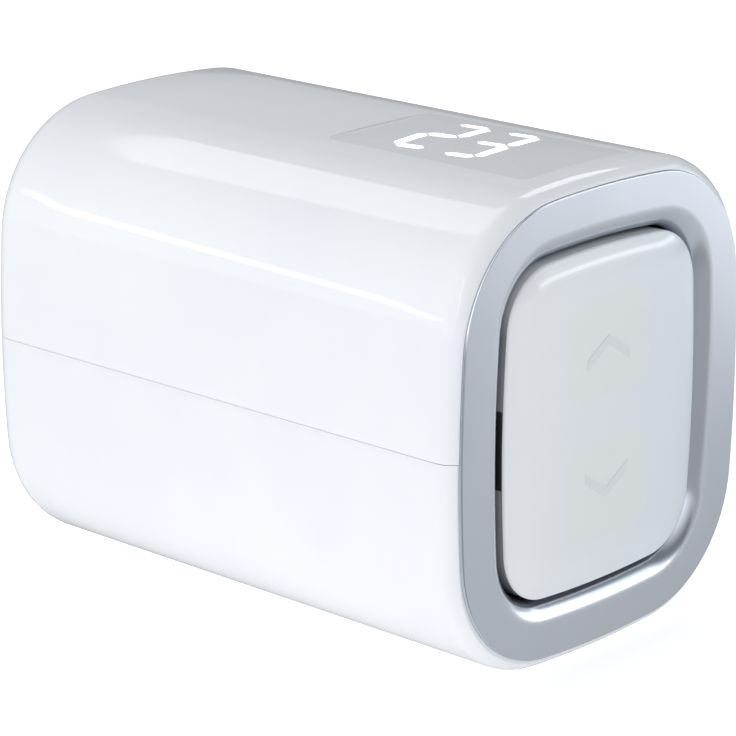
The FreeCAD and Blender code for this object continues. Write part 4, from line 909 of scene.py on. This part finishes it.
def light_guide(digit, name):
    """one six-sided segment, flush with the housing's crown"""
    first, second = [Vector((a * DIGIT_WIDTH / 2, u * HALF_HEIGHT)) for a, u in ENDS[name]]
    length = (second - first).length
    along = (second - first).normalized()
    side = Vector((-along.y, along.x))
    half = STROKE / 2
    start, end = STROKE_GAP, length - STROKE_GAP
    tips = ((start, 0), (start + half, half), (end - half, half), (end, 0), (end - half, -half),
            (start + half, -half))
    points = []
    for a, b in zip(tips, tips[1:] + tips[:1]):
        for share in (0, 0.25, 0.5, 0.75):
            spot = first + along * (a[0] + (b[0] - a[0]) * share) + side * (a[1] + (b[1] - a[1]) * share)
            points.append(on_display(digit, spot.x, spot.y))
    low = HOUSING_HEIGHT / 2 - WALL
    rings = [[place(x, y, low) for x, y in points], [place(x, y, crown_height(x)) for x, y in points]]
    cx, cy = on_display(digit, *(first + along * length / 2))
    for share in (0.66, 0.33, 0):
        closer = [(cx + (x - cx) * share, cy + (y - cy) * share) for x, y in points]
        rings.append([place(x, y, crown_height(x)) for x, y in closer])
    rings.append([place(cx, cy, low) for _ in points])
    guide = loft("segment", rings, closed=True)
    smooth(guide, 40)
    return guide


def digit_guides(name, lit):
    """the lit or the dark segments of both digits as one piece"""
    guides = [light_guide(digit, part) for digit in range(2) for part in ENDS if (part in LIT[digit]) == lit]
    join(guides[0], guides[1:])
    guides[0].name = guides[0].data.name = name
    return guides[0]


put(digit_guides("lit_digits", True), "housing", "lit_segments", "segment_lit")
put(digit_guides("dark_digits", False), "housing", "dark_segments", "segment_dark")


# Union nut

def nut_line(radius, points=12):
    """(x, z) points round the nut with its grip scallops"""
    line = []
    for k in range(points * SCALLOPS):
        turn = 2 * math.pi * k / (points * SCALLOPS)
        off = ((k / points + 0.5) % 1 - 0.5) * (2 * math.pi / SCALLOPS)
        reach = radius
        across = SCALLOP_PLACE * math.sin(off)
        if abs(across) < SCALLOP_RADIUS:
            reach = min(radius, SCALLOP_PLACE * math.cos(off) - math.sqrt(SCALLOP_RADIUS ** 2 - across ** 2))
        line.append((reach * math.cos(turn), reach * math.sin(turn)))
    return line


def union_nut():
    """nut with grip scallops outside, a flange at the front and its thread inside"""
    outer, broken = nut_line(NUT_RADIUS), nut_line(NUT_RADIUS - NUT_BREAK)
    turns = [2 * math.pi * k / len(outer) for k in range(len(outer))]
    circle = [(math.cos(turn), math.sin(turn)) for turn in turns]

    def bore(radius, y):
        return [place(radius * x, y, radius * z) for x, z in circle]

    rings = [bore(NUT_BORE, NUT_START), at_depth(broken, NUT_START), at_depth(outer, NUT_START + NUT_BREAK),
             at_depth(outer, NUT_END - NUT_BREAK), at_depth(broken, NUT_END),
             bore(THREAD_RADIUS + THREAD_MOUTH, NUT_END), bore(THREAD_RADIUS, THREAD_END)]
    for k in range(1, THREAD_STEPS):
        y = THREAD_END + (THREAD_START - THREAD_END) * k / THREAD_STEPS
        ring = []
        for index, (x, z) in enumerate(circle):
            phase = (y / THREAD_PITCH + index / len(circle)) % 1
            cut = max(0.0, 1 - abs(phase - 0.5) * THREAD_STEEPNESS)
            cut *= min(1, k / 4, (THREAD_STEPS - k) / 3)
            radius = THREAD_RADIUS + THREAD_DEPTH * cut
            ring.append(place(radius * x, y, radius * z))
        rings.append(ring)
    flange = NUT_START + NUT_FLANGE
    rings += [bore(THREAD_RADIUS, THREAD_START), bore(THREAD_RELIEF, THREAD_START),
              bore(THREAD_RELIEF, flange), bore(NUT_BORE, flange)]
    return loft("grip_nut", rings, closed=True)


nut = union_nut()
smooth(nut, 35)
even_light(nut)
put(nut, "valve_nut", "union_nut", NODE_SLOT["union_nut"])


# Cells

def turned(name, profile, x, z, angle):
    """a round piece along y, spun from a profile of (radius, y) points"""
    count = 64
    rings = []
    for radius, y in profile:
        rings.append([place(x + radius * math.cos(2 * math.pi * k / count), y,
                            z + radius * math.sin(2 * math.pi * k / count)) for k in range(count)])
    piece = loft(name, rings)
    tidy(piece)
    smooth(piece, angle)
    return piece


def cell(node, plus_ahead):
    """one cell: steel can with a stepped plus end and a dished minus end, in a printed sleeve"""
    low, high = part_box(node)
    start, end = low.y / MM + THREAD_END, high.y / MM + THREAD_END
    x, z = (low.x + high.x) / 2 / MM, (low.z + high.z) / 2 / MM
    radius = (high.x - low.x) / 2 / MM
    plus, minus, way = (start, end, 1) if plus_ahead else (end, start, -1)
    can = radius - CELL_FILM
    shoulder = plus + way * CELL_NIPPLE

    def after(offset):
        return shoulder + way * offset

    def before(offset):
        return minus - way * offset

    steel = ((0, plus), (2.2, plus), (2.55, plus + way * 0.12), (2.7, plus + way * 0.4), (2.72, after(-0.1)),
             (3.0, shoulder), (4.6, shoulder), (4.8, after(0.15)), (5.6, after(0.2)), (6.3, after(0.1)),
             (can - 0.25, after(0.12)), (can, after(0.5)), (can, before(0.5)), (can - 0.4, before(0.08)),
             (can - 0.9, minus), (4.4, minus), (4.1, before(0.12)), (0, before(0.12)))
    put(turned(node + "_can", steel, x, z, 35), "housing", node, "cell_sleeve", "cell_steel")
    film = ((can - 1.2, after(0.1)), (radius - 0.35, after(0.05)), (radius - 0.08, after(0.15)),
            (radius, after(0.45)), (radius, before(0.45)), (radius - 0.08, before(0.15)),
            (radius - 0.35, before(0.04)), (can - 1.2, before(0.02)), (can - 1.2, before(0.3)),
            (can - 0.3, before(0.5)), (can - 0.3, after(0.5)), (can - 1.2, after(0.25)))
    add_on(turned(node + "_sleeve", film + film[:1], x, z, 50), "housing", "cell_sleeve", "cell_sleeve")


cell("battery_left", True)
cell("battery_right", False)


# Pieces whose solids have the right shape: merged copies with softly shaded rounds and broken edges

SHARP_EDGES = {"chassis": 0.15, "front_frame": 0.12, "rocker_carrier": 0.1, "display_box": 0.12,
               "gearbox_base": 0.12, "gearbox_cover": 0.15, "switch_bodies": 0.1, "radio_shield": 0.15,
               "board_components": 0.06, "display_leds": 0.06, "contact_plus": 0.04, "contact_minus": 0.04,
               "contact_bridge": 0.04, "mount_collar": 0.12, "retaining_ring": 0.08, "spindle": 0.12,
               "thrust_washer": 0.04, "spindle_guide": 0.1, "collar_screws": 0.08, "gearbox_screws": 0.08,
               "shell_screws": 0.08, "board_screws": 0.06, "upper_plunger": 0.08, "lower_plunger": 0.08}


def finished(node, body):
    """a merged copy of a solid, with broken edges where the real piece has them"""
    piece = bpy.data.objects.new(node + "_finished", nodes[node].data.copy())
    piece.data.name = piece.name
    bpy.context.scene.collection.objects.link(piece)
    start_edit(piece)
    bpy.ops.mesh.remove_doubles(threshold=1e-6)
    bpy.ops.mesh.dissolve_limited(angle_limit=math.radians(0.5))
    end_edit()
    if node in SHARP_EDGES:
        modify(piece, "BEVEL", width=SHARP_EDGES[node] * MM, segments=2, limit_method="ANGLE",
               angle_limit=math.radians(50))
    smooth(piece, 32)
    even_light(piece)
    put(piece, body, node, NODE_SLOT[node])


for body, members in frame["record"]["behaviour"]["bodies"].items():
    for node in members:
        if not nodes[node].hide_render:
            finished(node, body)


# Floor

# painted pool of light that the plated bezel mirrors, on the floor to the right; its tone falls from middle
# to edge
POOL = (0.332, -0.011 - THREAD_END * MM, 0)
POOL_RADIUS = 0.258
POOL_TONES = (2.24, 0.33)
# the mirrored floor's painted tone rises along this slope, and a painted shade dims it beyond a line across
# the object's front left
SLOPE = (-0.71, -2.19, 0)
PAINTED_SHADE_WAY = (1, 1.075, 0)
PAINTED_SHADE_SPAN = [edge - 1.075 * THREAD_END * MM for edge in (-0.047, -0.026)]
PAINTED_SHADE_TONES = (0.5, 1.0)
DARKEST = 0.3
BRIGHTEST = 1.08


def floor_material():
    """pale studio floor: white to the eye, a softer grey with a painted pool of light and painted shade in
    what the gloss surfaces mirror
    """
    material, tree, shader, where = new_finish("pale_floor_painted_reflection")
    mottle = grain(tree, where, FLOOR_GRAIN, 2.0)
    feed(tree, shader, {
        "Base Color": colours(tree, mottle, (0.35, (0.93, 0.93, 0.93)), (0.65, (0.95, 0.95, 0.95))),
        "Roughness": 0.7, "Emission Color": (1, 1, 1, 1), "Emission Strength": 0.42})
    flat = wired(tree, "ShaderNodeVectorMath", {0: where, 1: (1, 1, 0)}, operation="MULTIPLY")
    # painted reflection: a pool of light and a band of painted shade that only the gloss surfaces see
    apart = wired(tree, "ShaderNodeVectorMath", {0: flat, 1: POOL}, "Value", operation="DISTANCE")
    painted_light_pool = spread(tree, apart, *POOL_TONES, 0.0, POOL_RADIUS, "SMOOTHSTEP")
    tone = worked(tree, "ADD", painted_light_pool, toward(tree, flat, SLOPE))
    painted_shade_dusk = spread(tree, toward(tree, flat, PAINTED_SHADE_WAY), *PAINTED_SHADE_TONES, *PAINTED_SHADE_SPAN, "SMOOTHSTEP")
    bound = {"Value": worked(tree, "MULTIPLY", tone, painted_shade_dusk), "Min": DARKEST, "Max": BRIGHTEST}
    shine = wired(tree, "ShaderNodeClamp", bound)
    grey = wired(tree, "ShaderNodeEmission", {"Color": (0.97, 0.98, 1.0, 1), "Strength": shine})
    glossy = wired(tree, "ShaderNodeLightPath", {}, "Is Glossy Ray")
    mix = wired(tree, "ShaderNodeMixShader", {"Fac": glossy, 1: shader.outputs["BSDF"], 2: grey})
    feed(tree, tree.nodes["Material Output"], {"Surface": mix})
    return material


pick_nothing()
bpy.ops.mesh.primitive_plane_add(size=8, location=(0, 0, FOOT * MM))
floor = bpy.context.object
floor.name = "floor"
floor.data.materials.append(floor_material())


# Light

ROOM_DIM = 0.20
ROOM_BRIGHT = 1.28
BRIGHT_WAY = Vector((-1, 0, 0.35)).normalized()
GLOW = 1.7
GLOW_CENTRE = (-34, 6)
GLOW_CONE = (0.87, 0.997)
LIT_POINT = Vector((0, -0.043, 0))
LAMP_DISTANCE = 1.5


def looking_to(azimuth, elevation):
    """the direction at an azimuth and an elevation, in degrees"""
    turn, rise = math.radians(azimuth), math.radians(elevation)
    return Vector((math.cos(turn) * math.cos(rise), math.sin(turn) * math.cos(rise), math.sin(rise)))


def studio_light():
    """a pale room, brightest on the left and above, dim and bluish on the right, with one soft glow"""
    world = bpy.data.worlds.new("studio")
    bpy.context.scene.world = world
    world.use_nodes = True
    tree = world.node_tree
    room = tree.nodes["Background"]
    looking = wired(tree, "ShaderNodeTexCoord", {}, "Generated")
    facing = toward(tree, looking, BRIGHT_WAY)
    ahead = toward(tree, looking, looking_to(*GLOW_CENTRE))
    strength = worked(tree, "ADD", spread(tree, facing, ROOM_DIM, ROOM_BRIGHT),
                      spread(tree, ahead, 0.0, GLOW, *GLOW_CONE, "SMOOTHSTEP"))
    hue = colours(tree, spread(tree, facing, 0.0, 1.0, -1.0, 1.0),
                  (0, (0.89, 0.95, 1.0)), (1, (0.985, 0.985, 1.0)))
    feed(tree, room, {"Strength": strength, "Color": hue})
    wall = wired(tree, "ShaderNodeBackground", {"Color": (1, 1, 1, 1), "Strength": 1.0})
    seen = wired(tree, "ShaderNodeLightPath", {}, "Is Camera Ray")
    mix = wired(tree, "ShaderNodeMixShader", {"Fac": seen, 1: room.outputs["Background"], 2: wall})
    feed(tree, tree.nodes["World Output"], {"Surface": mix})


studio_light()


def light_bar(name, first, second, width, radiance, distance=LAMP_DISTANCE, colour=(1, 1, 1)):
    """a long soft lamp between two directions (azimuth, elevation) seen from the object"""
    ends = [LIT_POINT + looking_to(*end) * distance for end in (first, second)]
    centre = (ends[0] + ends[1]) / 2
    along = ends[1] - ends[0]
    facing = (centre - LIT_POINT).normalized()
    across = facing.cross(along).normalized()
    data = bpy.data.lights.new(name, "AREA")
    data.shape = "RECTANGLE"
    data.size, data.size_y = along.length, width
    data.energy = math.pi * along.length * width * radiance
    data.color = colour
    lamp = bpy.data.objects.new(name, data)
    bpy.context.scene.collection.objects.link(lamp)
    axes = Matrix((along.normalized(), across, along.normalized().cross(across))).transposed()
    if (axes.col[2] @ facing) < 0:
        axes = Matrix((along.normalized(), -across, -axes.col[2])).transposed()
    lamp.matrix_world = Matrix.Translation(centre) @ axes.to_4x4()


light_bar("left_strip", (125, 17.5), (146, 6.4), 0.06, 4)
light_bar("front_left_strip", (-147, 12), (-163, 40), 0.04, 10)
light_bar("right_softbox", (-36, 22), (-8, 22), 0.12, 1.2, colour=(0.92, 0.96, 1.0))
light_bar("low_strip", (-56, 4.2), (-24, 4.2), 0.08, 3.2)
light_bar("far_softbox", (26, 17), (60, 17), 0.6, 0.2)
light_bar("back_softbox", (-5, 50), (25, 50), 0.6, 3.0)
light_bar("overhead", (62, 62), (118, 62), 0.30, 1.4, distance=0.42)


# Camera: turn, rise and roll in degrees, the lens's place in millimetres along its own three axes

VIEW_TURNS = (-47.36022, 16.94744, 0.12424)
VIEW_BACK = 395.953
VIEW_RIGHT = -28.409
VIEW_UP = 5.653
FOCAL_PIXELS = 3305.14
PICTURE_PIXELS = 736
SENSOR = 36.0


def aim_camera():
    """the photograph's view: where the lens stands and which way it looks"""
    turn, rise, roll = (math.radians(v) for v in VIEW_TURNS)
    back = Vector((math.sin(turn) * math.cos(rise), -math.cos(turn) * math.cos(rise), math.sin(rise)))
    level = Vector((math.cos(turn), math.sin(turn), 0))
    up = back.cross(level)
    right = math.cos(roll) * level + math.sin(roll) * up
    top = -math.sin(roll) * level + math.cos(roll) * up
    eye = back * VIEW_BACK + right * VIEW_RIGHT + top * VIEW_UP
    data = bpy.data.cameras.new("camera")
    data.sensor_fit = "HORIZONTAL"
    data.sensor_width = SENSOR
    data.lens = FOCAL_PIXELS / PICTURE_PIXELS * SENSOR
    data.clip_start = 0.01
    data.clip_end = 50
    camera = bpy.data.objects.new("camera", data)
    bpy.context.scene.collection.objects.link(camera)
    camera.matrix_world = Matrix.Translation(place(*eye)) @ Matrix((right, top, back)).transposed().to_4x4()
    bpy.context.scene.camera = camera


aim_camera()
bpy.context.scene.view_settings.view_transform = "Standard"
